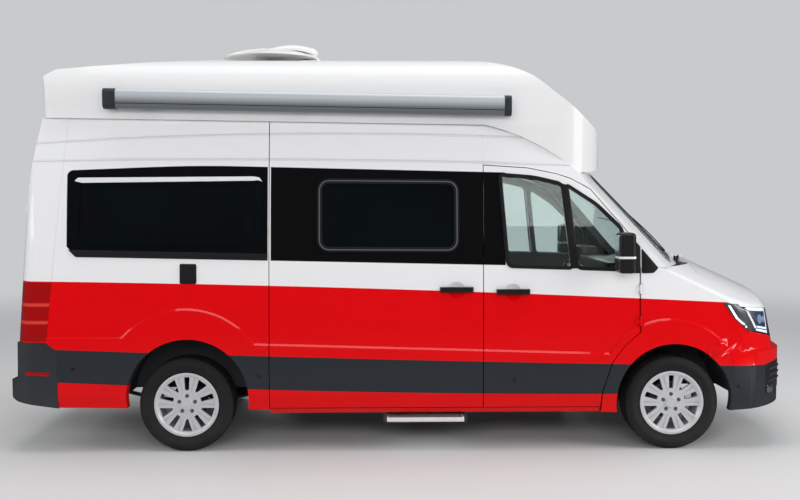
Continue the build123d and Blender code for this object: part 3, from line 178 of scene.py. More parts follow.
def liveryGroup():
    group, source, target = newGroup(
        "vanLivery", [("Point", "Vector", None), ("Sill", "Float", 1.0)],
        [("Color", "Color"), ("Satin", "Float"), ("Black", "Float"), ("Ridge", "Float")])
    x, y, z = splitPoint(group, source.outputs["Point"])
    across = calc(group, "ABSOLUTE", y)
    rear, radius = livery["panelRear"], livery["panelRound"]

    def above(name):
        return stepOver(group, z, curveLine(group, x, *livery[name]))

    nose = product(group, stepOver(group, x, livery["noseFrom"]), above("noseBelt"))
    red = product(group, opposite(group, above("belt")), opposite(group, nose))
    bandLow = calc(group, "MAXIMUM", above("bandLow"), opposite(group, source.outputs["Sill"]))
    band = product(group, opposite(group, above("bandTop")), bandLow)
    panelTop = calc(group, "SMOOTH_MIN", curveLine(group, x, *livery["panelTop"]),
                    curveLine(group, x, *livery["panelTail"]), livery["panelBlend"])
    corner = calc(group, "ADD", calc(group, "SUBTRACT", x, rear),
                  calc(group, "SUBTRACT", z, livery["cornerAt"]))
    rearGap = calc(group, "MAXIMUM", calc(group, "SUBTRACT", rear + radius, x), 0.0)
    topGap = calc(group, "SUBTRACT", z, calc(group, "SUBTRACT", panelTop, radius))
    topGap = calc(group, "MAXIMUM", topGap, 0.0)
    reach = calc(group, "MULTIPLY_ADD", rearGap, rearGap, product(group, topGap, topGap))
    panel = product(
        group, opposite(group, stepOver(group, z, panelTop)), above("panelLow"),
        stepOver(group, x, rear), stepOver(group, livery["panelFront"], x),
        stepOver(group, away(group, x, livery["doorLine"]), livery["doorStrip"]),
        stepOver(group, corner, livery["cornerCut"]),
        stepOver(group, radius, calc(group, "SQRT", reach)),
        stepOver(group, across, livery["panelSide"]))
    colour = mixColour(group, red, livery["white"], livery["red"])
    colour = mixColour(group, band, colour, livery["anthracite"])
    colour = mixColour(group, panel, colour, livery["black"])
    ridge = 0.0
    for line in livery["ridges"]:
        share = calc(group, "DIVIDE", away(group, z, curveLine(group, x, *line)), livery["ridgeHalf"])
        ridge = calc(group, "ADD", ridge, calc(group, "SUBTRACT", 1.0, share, clamp=True))
    ridge = product(group, ridge, stepOver(group, across, livery["ridgeSide"]))
    for label, value in (("Color", colour), ("Satin", band), ("Black", panel), ("Ridge", ridge)):
        group.links.new(value, target.inputs[label])
    return group


roadDust = {"colour": (0.22, 0.2, 0.175), "cloud": 9.0, "detail": 6.0, "amount": 0.3, "top": 0.7}


def dustGroup():
    group, source, target = newGroup(
        "roadDust",
        [("Point", "Vector", None), ("Color", "Color", None), ("Amount", "Float", roadDust["amount"]),
         ("Top", "Float", roadDust["top"])],
        [("Color", "Color"), ("Mask", "Float")])
    height = splitPoint(group, source.outputs["Point"])[2]
    low = calc(group, "SUBTRACT", source.outputs["Top"], height, clamp=True)
    cloud = noiseAt(group, source.outputs["Point"], roadDust["cloud"], roadDust["detail"])
    mask = calc(group, "MULTIPLY", product(group, low, cloud), source.outputs["Amount"], clamp=True)
    colour = mixColour(group, mask, source.outputs["Color"], roadDust["colour"])
    group.links.new(colour, target.inputs["Color"])
    group.links.new(mask, target.inputs["Mask"])
    return group


mouldGrain = {"scale": 600.0, "cloud": 4.0, "detail": 5.0, "swing": 0.35, "least": 0.82}


def grainGroup():
    group, source, target = newGroup(
        "mouldGrain",
        [("Point", "Vector", None), ("Color", "Color", None), ("Scale", "Float", mouldGrain["scale"])],
        [("Color", "Color"), ("Height", "Float")])
    grain = group.nodes.new("ShaderNodeTexVoronoi")
    group.links.new(source.outputs["Point"], grain.inputs["Vector"])
    group.links.new(source.outputs["Scale"], grain.inputs["Scale"])
    cloud = noiseAt(group, source.outputs["Point"], mouldGrain["cloud"], mouldGrain["detail"])
    shade = calc(group, "MULTIPLY_ADD", cloud, mouldGrain["swing"], mouldGrain["least"])
    darker = group.nodes.new("ShaderNodeHueSaturation")
    group.links.new(source.outputs["Color"], darker.inputs["Color"])
    group.links.new(shade, darker.inputs["Value"])
    group.links.new(darker.outputs[0], target.inputs["Color"])
    group.links.new(grain.outputs["Distance"], target.inputs["Height"])
    return group


groups = {"livery": liveryGroup(), "dust": dustGroup(), "grain": grainGroup()}


# small helpers for finishes
def startMaterial(name, colour, **values):
    material = bpy.data.materials.new(name)
    material.use_nodes = True
    tree = material.node_tree
    shader = tree.nodes["Principled BSDF"]
    shader.inputs["Base Color"].default_value = (*colour, 1)
    for label, value in values.items():
        shader.inputs[label].default_value = value
    point = tree.nodes.new("ShaderNodeTexCoord").outputs["Object"]
    return material, tree, shader, point


def placeGroup(tree, name, **links):
    node = tree.nodes.new("ShaderNodeGroup")
    node.node_tree = groups[name]
    for label, value in links.items():
        feed(tree, node.inputs[label], value)
    return node


def bumpInto(tree, shader, height, strength, distance):
    bump = tree.nodes.new("ShaderNodeBump")
    bump.inputs["Strength"].default_value = strength
    bump.inputs["Distance"].default_value = distance
    tree.links.new(height, bump.inputs["Height"])
    tree.links.new(bump.outputs[0], shader.inputs["Normal"])


def dusted(tree, shader, point, colour, rough, amount, top=roadDust["top"]):
    dust = placeGroup(tree, "dust", Point=point, Color=colour, Amount=amount, Top=top)
    tree.links.new(dust.outputs["Color"], shader.inputs["Base Color"])
    tree.links.new(calc(tree, "ADD", dust.outputs["Mask"], rough), shader.inputs["Roughness"])


innerTrim = {"colour": (0.075, 0.076, 0.080), "rough": 0.4, "tail": -2.6, "inwards": -0.05, "forwards": 0.5}


# faces that look towards the van's middle, so that the inside of a panel is trimmed and not painted
def innerMask(tree, point):
    place = splitPoint(tree, point)
    normal = splitPoint(tree, tree.nodes.new("ShaderNodeTexCoord").outputs["Normal"])
    across = calc(tree, "LESS_THAN", product(tree, place[1], normal[1]), innerTrim["inwards"])
    tail = product(tree, calc(tree, "LESS_THAN", place[0], innerTrim["tail"]),
                   calc(tree, "GREATER_THAN", normal[0], innerTrim["forwards"]))
    return calc(tree, "MAXIMUM", across, tail)


# gloss paint: a clear coat with a fine peel; the satin band and the black panel shift its roughness
glossPaint = {
    "shader": {"Coat Roughness": 0.03, "Specular IOR Level": 0.08},
    "coat": 0.55, "rough": 0.3, "satin": 0.2, "black": -0.2,
    "peel": {"scale": 240.0, "detail": 2.0}, "peelShare": 0.006,
    "peelBump": {"strength": 0.03, "distance": 0.001}, "ridgeBump": {"strength": 0.8, "distance": 0.010},
}


def bodyPaint(name, dustAmount=0.12, sill=1.0):
    material, tree, shader, point = startMaterial(name, livery["white"], **glossPaint["shader"])
    zones = placeGroup(tree, "livery", Point=point, Sill=sill)
    dust = placeGroup(tree, "dust", Point=point, Color=zones.outputs["Color"], Amount=dustAmount)
    inner = innerMask(tree, point)
    colour = mixColour(tree, inner, dust.outputs["Color"], innerTrim["colour"])
    tree.links.new(colour, shader.inputs["Base Color"])
    rough = calc(tree, "MULTIPLY_ADD", zones.outputs["Satin"], glossPaint["satin"], glossPaint["rough"])
    rough = calc(tree, "MULTIPLY_ADD", inner, innerTrim["rough"], rough)
    rough = calc(tree, "MULTIPLY_ADD", zones.outputs["Black"], glossPaint["black"], rough)
    tree.links.new(calc(tree, "ADD", rough, dust.outputs["Mask"]), shader.inputs["Roughness"])
    coat = calc(tree, "MAXIMUM", zones.outputs["Satin"], inner)
    coat = product(tree, calc(tree, "SUBTRACT", 1.0, coat, clamp=True), glossPaint["coat"])
    tree.links.new(coat, shader.inputs["Coat Weight"])
    peel = noiseAt(tree, point, **glossPaint["peel"])
    height = calc(tree, "MULTIPLY_ADD", peel, glossPaint["peelShare"], zones.outputs["Ridge"])
    bumpInto(tree, shader, height, **glossPaint["ridgeBump"])
    return material


def plainPaint(name, colour, coat=glossPaint["coat"], rough=glossPaint["rough"], dustAmount=0.1):
    material, tree, shader, point = startMaterial(
        name, colour, **glossPaint["shader"], **{"Coat Weight": coat})
    dusted(tree, shader, point, colour, rough, dustAmount)
    bumpInto(tree, shader, noiseAt(tree, point, **glossPaint["peel"]), **glossPaint["peelBump"])
    return material


def mouldedPlastic(name, colour, rough, scale=700.0, depth=0.25, height=0.0006, dust=0.2, **dustTop):
    material, tree, shader, point = startMaterial(name, colour)
    grain = placeGroup(tree, "grain", Point=point, Color=colour, Scale=scale)
    dusted(tree, shader, point, grain.outputs["Color"], rough, dust, **dustTop)
    bumpInto(tree, shader, grain.outputs["Height"], strength=depth, distance=height)
    return material


def rubber(name, colour):
    return mouldedPlastic(
        name, colour, rough=0.75, scale=420.0, depth=0.2, height=0.0005, dust=0.14, top=0.75)


brushing = {"lines": {"scale": 30.0, "detail": 4.0}, "swing": 0.25, "dust": 0.15,
            "bump": {"strength": 0.04, "distance": 0.0005}}


def brushLines(tree, shader, point, rough, stretch):
    lines = noiseAt(tree, point, stretch=stretch, **brushing["lines"])
    tree.links.new(calc(tree, "MULTIPLY_ADD", lines, brushing["swing"], rough), shader.inputs["Roughness"])
    bumpInto(tree, shader, lines, **brushing["bump"])


def brushedMetal(name, colour, rough, stretch, metallic=1.0):
    material, tree, shader, point = startMaterial(name, colour, Metallic=metallic)
    brushLines(tree, shader, point, rough, stretch)
    dust = placeGroup(tree, "dust", Point=point, Color=colour, Amount=brushing["dust"])
    tree.links.new(dust.outputs["Color"], shader.inputs["Base Color"])
    return material


# awning: painted light on the case, a pale painted highlight on its top that darkens into painted shade
# towards the lower edge of the case
awningPaintedLight = {"axis": (2.58107, -0.015814, 0.0), "low": (0.15, 0.165, 0.18), "high": (0.52, 0.56, 0.60),
              "from": -0.026, "to": 0.030, "metallic": 0.2, "rough": 0.3, "stretch": (2.0, 80.0, 80.0)}


def awningAlloyPaintedLight(name):
    material, tree, shader, point = startMaterial(name, awningPaintedLight["low"], Metallic=awningPaintedLight["metallic"])
    brushLines(tree, shader, point, awningPaintedLight["rough"], awningPaintedLight["stretch"])
    # painted light: the colour runs from painted shade (low) below the case's middle line to a painted
    # highlight (high) above it
    place = splitPoint(tree, point)
    share = calc(tree, "SUBTRACT", place[2], curveLine(tree, place[0], *awningPaintedLight["axis"]))
    share = calc(tree, "SUBTRACT", share, awningPaintedLight["from"])
    share = calc(tree, "DIVIDE", share, awningPaintedLight["to"] - awningPaintedLight["from"], clamp=True)
    tree.links.new(mixColour(tree, share, awningPaintedLight["low"], awningPaintedLight["high"]), shader.inputs["Base Color"])
    return material


glassFilm = {"clear": {"scale": 3.0, "detail": 6.0}, "clearRough": 0.03, "bend": 1.45,
             "dark": {"scale": 2.5, "detail": 6.0}, "darkRough": (0.05, 0.03), "darkTone": 2.2}


def clearGlass(name, tint):
    material, tree, shader, point = startMaterial(
        name, tint, IOR=glassFilm["bend"], **{"Transmission Weight": 1.0})
    film = noiseAt(tree, point, **glassFilm["clear"])
    tree.links.new(product(tree, film, glassFilm["clearRough"]), shader.inputs["Roughness"])
    return material


def darkGlass(name, colour):
    material, tree, shader, point = startMaterial(
        name, colour, **{"Coat Weight": 0.6, "Coat Roughness": 0.01, "Specular IOR Level": 0.1})
    film = noiseAt(tree, point, **glassFilm["dark"])
    rough = calc(tree, "MULTIPLY_ADD", film, *glassFilm["darkRough"])
    tree.links.new(rough, shader.inputs["Roughness"])
    shade = mixColour(tree, film, colour, toned(colour, glassFilm["darkTone"]))
    tree.links.new(shade, shader.inputs["Base Color"])
    return material


tailLamp = {"red": (0.46, 0.002, 0.003), "pale": (0.70, 0.05, 0.03), "bars": (1.105, 0.975), "barHalf": 0.012,
            "barSoft": 0.004, "ribs": 24.0, "ribTone": 0.6, "ribBump": {"strength": 0.15, "distance": 0.001}}


def lampRed(name):
    material, tree, shader, point = startMaterial(
        name, tailLamp["red"], Roughness=0.12, **{"Coat Weight": 1.0, "Coat Roughness": 0.02})
    height = splitPoint(tree, point)[2]
    bars = 0.0
    for level in tailLamp["bars"]:
        bar = stepOver(tree, tailLamp["barHalf"], away(tree, height, level), tailLamp["barSoft"])
        bars = calc(tree, "MAXIMUM", bars, bar)
    ribs = wavesAt(tree, point, tailLamp["ribs"], "Z")
    base = mixColour(tree, ribs, tailLamp["red"], toned(tailLamp["red"], tailLamp["ribTone"]))
    tree.links.new(mixColour(tree, bars, base, tailLamp["pale"]), shader.inputs["Base Color"])
    bumpInto(tree, shader, ribs, **tailLamp["ribBump"])
    return material


def lampLight(name, colour, glow, ribs=40.0, ribTone=0.7):
    material, tree, shader, point = startMaterial(name, colour, Roughness=0.15, **{"Emission Strength": glow})
    shade = mixColour(tree, wavesAt(tree, point, ribs), colour, toned(colour, ribTone))
    tree.links.new(shade, shader.inputs["Base Color"])
    tree.links.new(shade, shader.inputs["Emission Color"])
    return material


weave = {"threads": 160.0, "cloud": {"scale": 14.0, "detail": 4.0}, "threadShare": 0.5, "cloudShare": 0.4,
         "tone": 2.4, "bump": {"strength": 0.3, "distance": 0.0008}}


def wovenCloth(name, colour):
    material, tree, shader, point = startMaterial(name, colour, Roughness=0.85, **{"Sheen Weight": 0.3})
    threads = product(tree, *(wavesAt(tree, point, weave["threads"], direction) for direction in "XYZ"))
    cloud = product(tree, noiseAt(tree, point, **weave["cloud"]), weave["cloudShare"])
    shade = calc(tree, "MULTIPLY_ADD", threads, weave["threadShare"], cloud, clamp=True)
    shade = mixColour(tree, shade, colour, toned(colour, weave["tone"]))
    tree.links.new(shade, shader.inputs["Base Color"])
    bumpInto(tree, shader, threads, **weave["bump"])
    return material


materials = {
    "body_paint": bodyPaint("bodyPaint"),
    "bumper_paint": bodyPaint("bumperPaint", dustAmount=0.2, sill=0.0),
    "sill_paint": plainPaint("sillRed", livery["red"], dustAmount=0.35),
    "roof_white": plainPaint("roofGelcoat", (0.725, 0.725, 0.73), coat=0.3, rough=0.36),
    "white_plastic": mouldedPlastic("dishWhite", (0.80, 0.80, 0.80), rough=0.3, scale=900.0, depth=0.08),
    "lamp_clear": clearGlass("lampLens", (0.95, 0.97, 1.0)),
    "lamp_red": lampRed("tailLens"),
    "black_plastic": mouldedPlastic("trimBlack", (0.012, 0.012, 0.013), rough=0.38),
    "dark_plastic": mouldedPlastic("bumperGrey", livery["anthracite"], rough=0.55),
    "glass": clearGlass("cabGlass", (0.80, 0.90, 0.87)),
    "dark_glass": darkGlass("privacyGlass", (0.0015, 0.0025, 0.003)),
    "underbody": mouldedPlastic("floorSealer", (0.045, 0.045, 0.048), rough=0.7, scale=90.0, depth=0.4),
    "chassis_black": plainPaint("chassisBlack", (0.015, 0.015, 0.016), coat=0.2, rough=0.5, dustAmount=0.6),
    "cast_iron": mouldedPlastic("castIron", (0.08, 0.078, 0.075), 0.6, scale=260.0, depth=0.5, dust=0.5),
    "seat_fabric": mouldedPlastic("seatShell", (0.02, 0.02, 0.022), rough=0.7),
    # the awning's alloy has painted light: a painted highlight on top, painted shade towards the lower edge
    "awning_grey": awningAlloyPaintedLight("awningAlloyPaintedLight"),
    "step_alloy": brushedMetal("stepAlloy", (0.86, 0.865, 0.87), 0.23, (3.0, 60.0, 60.0), metallic=0.2),
    "tyre": rubber("tyreRubber", (0.011, 0.011, 0.012)),
    "rim_alloy": brushedMetal("rimSilver", (0.70, 0.71, 0.73), 0.22, (20.0, 20.0, 20.0), metallic=0.3),
    "mirror": brushedMetal("mirrorGlass", (0.75, 0.78, 0.80), 0.02, (2.0, 2.0, 2.0)),
    "lampBowl": brushedMetal("lampBowl", (0.10, 0.105, 0.115), 0.23, (9.0, 9.0, 9.0), metallic=0.6),
    "lampLight": lampLight("lampLight", (0.80, 0.88, 1.0), glow=0.9),
    "lampEye": lampLight("lampEye", (0.30, 0.42, 0.68), glow=0.25),
    "seatCloth": wovenCloth("seatCloth", (0.030, 0.031, 0.034)),
}

ownFinish = {"bonnet": plainPaint("bonnetWhite", livery["white"])}
for entry in frame["record"]["subparts"]:
    node = nodes[entry["node"]]
    node.data.materials.clear()
    node.data.materials.append(ownFinish.get(entry["node"], materials[entry["material_slot"]]))
print("stage: finishes on the CAD nodes")


# small helpers for modelling
def objectMode():
    if bpy.context.mode != "OBJECT":
        bpy.ops.object.mode_set(mode="OBJECT")


def named(piece, name):
    piece.name = name
    piece.data.name = name
    return piece


def selected(*pieces):
    bpy.ops.object.select_all(action="DESELECT")
    for piece in pieces:
        piece.select_set(True)
    bpy.context.view_layer.objects.active = pieces[0]


def openPiece(name, kind, **values):
    bpy.ops.object.select_all(action="DESELECT")
    getattr(bpy.ops.mesh, "primitive_" + kind + "_add")(**values)
    bpy.ops.object.transform_apply(location=True, rotation=True, scale=True)
    return named(bpy.context.object, name)


def pick(piece, kind, test):
    bpy.ops.object.mode_set(mode="EDIT")
    bpy.ops.mesh.select_mode(type=kind)
    bpy.ops.mesh.select_all(action="DESELECT")
    bpy.ops.object.mode_set(mode="OBJECT")
    items = {"VERT": piece.data.vertices, "EDGE": piece.data.edges, "FACE": piece.data.polygons}[kind]
    for item in items:
        item.select = test(item)
    bpy.ops.object.mode_set(mode="EDIT")


def pickAll():
    bpy.ops.object.mode_set(mode="EDIT")
    bpy.ops.mesh.select_mode(type="FACE")
    bpy.ops.mesh.select_all(action="SELECT")


# picks the faces that look along an axis
def pickFacing(piece, axis, way=1, least=0.9):
    pick(piece, "FACE", lambda face: face.normal[axis] * way > least)


# rounds the edges that run along an axis
def roundAlong(piece, axis, radius, segments=7, least=0.003):
    def runs(edge):
        first, second = (piece.data.vertices[k].co[axis] for k in edge.vertices)
        return abs(first - second) > least

    pick(piece, "EDGE", runs)
    bpy.ops.mesh.bevel(offset=radius, segments=segments, affect="EDGES")
    bpy.ops.object.mode_set(mode="OBJECT")


def drawn(shift):
    bpy.ops.mesh.extrude_region_move(TRANSFORM_OT_translate={"value": shift})


def dished(*stages):
    for inset, shift in stages:
        bpy.ops.mesh.inset(thickness=inset)
        bpy.ops.transform.translate(value=shift)


def applied(piece, kind, **values):
    objectMode()
    modifier = piece.modifiers.new(kind, kind)
    for label, value in values.items():
        setattr(modifier, label, value)
    bpy.ops.object.modifier_apply(modifier=modifier.name)


def softened(piece, width, segments=2, angle=30.0):
    applied(piece, "BEVEL", width=width, segments=segments, limit_method="ANGLE", angle_limit=radians(angle))


def cleaned(piece, angle=35.0):
    pickAll()
    bpy.ops.mesh.remove_doubles(threshold=0.00005)
    bpy.ops.mesh.normals_make_consistent(inside=False)
    bpy.ops.object.mode_set(mode="OBJECT")
    bpy.ops.object.shade_smooth_by_angle(angle=radians(angle))
    return piece


def settled(piece, body, slot, finish=None):
    objectMode()
    bpy.ops.object.transform_apply(location=True, rotation=True, scale=True)
    piece.data.materials.clear()
    piece.data.materials.append(materials[finish or slot])
    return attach(piece, body)


def copied(piece, name, place=(0.0, 0.0, 0.0), side=1):
    selected(piece)
    bpy.ops.object.duplicate(linked=False)
    other = named(bpy.context.object, name)
    pickAll()
    if side < 0:
        bpy.ops.transform.resize(value=(1.0, -1.0, 1.0), center_override=(0.0, 0.0, 0.0))
        bpy.ops.mesh.flip_normals()
    bpy.ops.transform.translate(value=place)
    bpy.ops.object.mode_set(mode="OBJECT")
    return other


def joined(name, parts):
    selected(*parts)
    bpy.ops.object.join()
    return named(bpy.context.object, name)


def removed(*pieces):
    for piece in pieces:
        bpy.data.objects.remove(piece, do_unlink=True)


skins = {}
for skinName, skinNode in nodes.items():
    skins[skinName] = BVHTree.FromPolygons([vertex.co.copy() for vertex in skinNode.data.vertices],
                                           [tuple(face.vertices) for face in skinNode.data.polygons])
castFrom = {"side": 2.0, "end": 4.0, "above": 3.0}
sharedNodes = ("cab_frame", "front_bumper", "rear_bumper", "rear_portal", "side_glass", "headlamps")
sideNodes = {
    -1: ("quarter_right", "sliding_door", "front_door_right", "wing_right", "door_glass_right", *sharedNodes),
    1: ("side_wall_left", "front_door_left", "wing_left", "door_glass_left", *sharedNodes),
}


def skinPoint(names, origin, direction):
    hits = [skins[name].ray_cast(Vector(origin), Vector(direction)) for name in names]
    hits = [hit for hit in hits if hit[0] is not None]
    return min(hits, key=lambda hit: hit[3])[0] if hits else None


def skinY(x, z, side):
    found = skinPoint(sideNodes[side], (x, castFrom["side"] * side, z), (0.0, -side, 0.0))
    return side * sideAt(z) if found is None else found.y


def boxOf(name, low, high, radius=0.0, segments=3):
    piece = openPiece(name, "cube", size=1.0)
    for vertex in piece.data.vertices:
        vertex.co = [low[k] if vertex.co[k] < 0 else high[k] for k in range(3)]
    if radius:
        pickAll()
        bpy.ops.mesh.bevel(offset=radius, segments=segments, affect="EDGES")
        bpy.ops.object.mode_set(mode="OBJECT")
    return piece


def oblong(x0, z0, x1, z1):
    return [(x0, z0), (x0, z1), (x1, z1), (x1, z0)]


def scaled(outline, wide, high):
    middle = sum(z for x, z in outline) / len(outline)
    return [(wide * x, middle + high * (z - middle)) for x, z in outline]


def grown(outline, amount):
    count = len(outline)
    area = sum(outline[k][0] * outline[k - 1][1] - outline[k - 1][0] * outline[k][1] for k in range(count))
    turn = 1 if area > 0 else -1
    lines = []
    for k in range(count):
        (x0, z0), (x1, z1) = outline[k - 1], outline[k]
        length = sqrt((x1 - x0) ** 2 + (z1 - z0) ** 2)
        normal = (-turn * (z1 - z0) / length, turn * (x1 - x0) / length)
        lines.append((normal, normal[0] * x0 + normal[1] * z0 + amount))
    found = []
    for k in range(count):
        (a, b), c = lines[k]
        (d, e), f = lines[(k + 1) % count]
        spread = a * e - b * d
        found.append(((c * e - b * f) / spread, (a * f - c * d) / spread))
    return found


plateMake = {"sunk": 0.001, "arc": 6, "softAngle": 50.0}


# a thin plate that follows the skin behind it; a ring is given as its reach outside and inside the outline
def sidePlate(name, side, outline, rounding, thick, soft, lift=0.0, ring=None, base=skinY, pitch=0.05):
    if ring:
        outline = grown(outline, ring[0])
        rounding += ring[0]
    piece = openPiece(name, "circle", vertices=len(outline), fill_type="NGON")
    for vertex, (x, z) in zip(piece.data.vertices, outline):
        vertex.co = (x, 0.0, z)
    pickAll()
    if rounding:
        bpy.ops.mesh.select_mode(type="VERT")
        bpy.ops.mesh.bevel(offset=rounding, segments=plateMake["arc"], affect="VERTICES")
        pickAll()
    if ring:
        bpy.ops.mesh.inset(thickness=sum(ring))
        bpy.ops.mesh.delete(type="FACE")
    for axis, places in ((2, [z for x, z in outline]), (0, [x for x, z in outline])):
        for k in range(1, int((max(places) - min(places)) / pitch)):
            pickAll()
            cut, normal = [0.0, 0.0, 0.0], [0.0, 0.0, 0.0]
            cut[axis] = min(places) + k * pitch
            normal[axis] = 1.0
            bpy.ops.mesh.bisect(plane_co=cut, plane_no=normal)
    bpy.ops.object.mode_set(mode="OBJECT")
    for vertex in piece.data.vertices:
        skin = base(vertex.co.x, vertex.co.z, side)
        vertex.co.y = skin + side * (lift + thick / 2 - plateMake["sunk"])
    applied(piece, "SOLIDIFY", thickness=thick, offset=0.0)
    softened(piece, soft, angle=plateMake["softAngle"])
    return cleaned(piece)


# plates on the rounded ends, cast along their own facing direction
def endPlate(name, centre, facing, names, pitch=0.04, **shape):
    out = Vector((*facing, 0.0)).normalized()
    along = Vector((-out.y, out.x, 0.0))
    middle = Vector((*centre, 0.0))

    def reach(x, z, side):
        origin = middle + along * x + out * castFrom["end"]
        found = skinPoint(names, (origin.x, origin.y, z), -out)
        return 0.0 if found is None else (found - middle).dot(out)

    piece = sidePlate(name, 1, base=reach, pitch=pitch, **shape)
    for vertex in piece.data.vertices:
        x, y, z = vertex.co
        vertex.co = middle + along * x + out * y + Vector((0.0, 0.0, z))
    return cleaned(piece)


# the trim plates of one side; each entry gives its body, slot and shape
def trimPlates(trim, side, hand):
    for name, (body, slot, shape) in trim.items():
        settled(sidePlate(name + "_" + hand, side, **shape), body.format(hand), slot)


doorBody = "front_door_{}_body"

# wheels: one tyre with its tread, nuts and a blank cap, copied to the four corners
wheelPlaces = {"axle": 0.352, "across": 0.866, "ends": {"front": 1.997, "rear": -1.643}}
tyreShape = {
    "steps": 120, "lean": 1.1, "leanFrom": 0.343,
    "sipeShare": 0.24, "sipeDepth": 0.006, "sipeFrom": 0.346, "rib": (0.024, 0.051), "shoulder": 0.06,
    # half of the section, from the bead to the middle of the tread: radius, distance from the middle
    "half": [(0.2325, 0.0835), (0.2440, 0.0965), (0.2500, 0.1055), (0.2545, 0.1092), (0.2585, 0.1076),
             (0.2620, 0.1082), (0.2720, 0.1125), (0.2850, 0.1155), (0.2950, 0.1163), (0.2962, 0.1171),
             (0.3010, 0.1171), (0.3022, 0.1163), (0.3120, 0.1150), (0.3230, 0.1117), (0.3330, 0.1068),
             (0.3410, 0.1010), (0.3472, 0.0940), (0.3500, 0.0870), (0.3510, 0.0800), (0.3515, 0.0600),
             (0.3440, 0.0590), (0.3440, 0.0520), (0.3517, 0.0510), (0.3520, 0.0240), (0.3440, 0.0230),
             (0.3440, 0.0160), (0.3520, 0.0150)],
}


def treadedTyre():
    section = [(r, -y) for r, y in tyreShape["half"]] + list(reversed(tyreShape["half"]))
    piece = openPiece("tyreMaster", "circle", vertices=len(section), fill_type="NOTHING")
    for vertex, (r, y) in zip(piece.data.vertices, section):
        vertex.co = (0.0, y, r)
    bpy.ops.object.mode_set(mode="EDIT")
    bpy.ops.mesh.select_all(action="SELECT")
    bpy.ops.mesh.spin(steps=tyreShape["steps"], angle=2 * pi, center=(0, 0, 0), axis=(0, 1, 0))
    bpy.ops.mesh.select_all(action="SELECT")
    bpy.ops.mesh.remove_doubles(threshold=0.0001)
    bpy.ops.mesh.normals_make_consistent(inside=False)
    bpy.ops.object.mode_set(mode="OBJECT")
    pitch = 2 * pi / tyreShape["steps"]
    for vertex in piece.data.vertices:
        x, y, z = vertex.co
        radius, turn = sqrt(x * x + z * z), atan2(x, z)
        count = round(turn / pitch)
        if count % 2:
            turn = (count - 1) * pitch + 2 * pitch * tyreShape["sipeShare"]
        if radius > tyreShape["leanFrom"]:
            turn += tyreShape["lean"] * abs(y)
        vertex.co = (radius * sin(turn), y, radius * cos(turn))

    def isSipe(face):
        x, y, z = face.center
        radius, turn = sqrt(x * x + z * z), atan2(x, z) - tyreShape["lean"] * abs(y)
        part = (turn / (2 * pitch)) % 1.0
        onRib = abs(y) > tyreShape["shoulder"] or tyreShape["rib"][0] < abs(y) < tyreShape["rib"][1]
        return radius > tyreShape["sipeFrom"] and part < tyreShape["sipeShare"] and onRib

    pick(piece, "FACE", isSipe)
    bpy.ops.mesh.extrude_region_shrink_fatten(TRANSFORM_OT_shrink_fatten={"value": -tyreShape["sipeDepth"]})
    return cleaned(piece, 28.0)


nutShape = {"count": 5, "circle": 0.062, "radius": 0.0115, "floor": 0.067, "top": 0.083, "soft": 0.0008,
            "stages": ((0.0026, (0, 0.003, 0)), (0.003, (0, -0.002, 0)))}


def wheelNut():
    piece = openPiece("nutMaster", "cylinder", vertices=6, radius=nutShape["radius"],
                      depth=nutShape["top"] - nutShape["floor"], rotation=(pi / 2, 0, 0),
                      location=(0, (nutShape["top"] + nutShape["floor"]) / 2, 0))
    pickFacing(piece, 1)
    dished(*nutShape["stages"])
    softened(piece, nutShape["soft"])
    return cleaned(piece)


capShape = {"radius": 0.035, "floor": 0.0925, "high": 0.0035, "rim": (0.003, (0, -0.0012, 0)),
            "crown": 0.004, "crownShares": (0.35, 0.3, 0.2), "crownInset": 0.8}


def wheelCap():
    piece = openPiece("capMaster", "circle", vertices=48, radius=capShape["radius"], fill_type="NGON",
                      rotation=(-pi / 2, 0, 0), location=(0, capShape["floor"], 0))
    pickAll()
    drawn((0, capShape["high"], 0))
    dished(capShape["rim"])
    for share in capShape["crownShares"]:
        dished((capShape["radius"] * share * capShape["crownInset"], (0, capShape["crown"] * share, 0)))
    return cleaned(piece, 40.0)


tyreMaster, nutMaster, capMaster = treadedTyre(), wheelNut(), wheelCap()
for end, x in wheelPlaces["ends"].items():
    for side, hand in reversed(bothSides):
        corner = end + "_" + hand
        place = (x, side * wheelPlaces["across"], wheelPlaces["axle"])
        tyre = settled(copied(tyreMaster, "treadedTyre_" + corner, place, side), "wheel_" + corner, "tyre")
        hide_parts("tyre_" + corner)
        nuts = []
        for k in range(nutShape["count"]):
            turn = pi / 2 + k * 2 * pi / nutShape["count"]
            spot = Vector(place) + nutShape["circle"] * Vector((cos(turn), 0.0, sin(turn)))
            nuts.append(copied(nutMaster, "nut", spot, side))
        settled(joined("wheelNuts_" + corner, nuts), "wheel_" + corner, "cast_iron")
        settled(copied(capMaster, "wheelCap_" + corner, place, side), "wheel_" + corner, "rim_alloy")
removed(tyreMaster, nutMaster, capMaster)
print("stage: wheels")

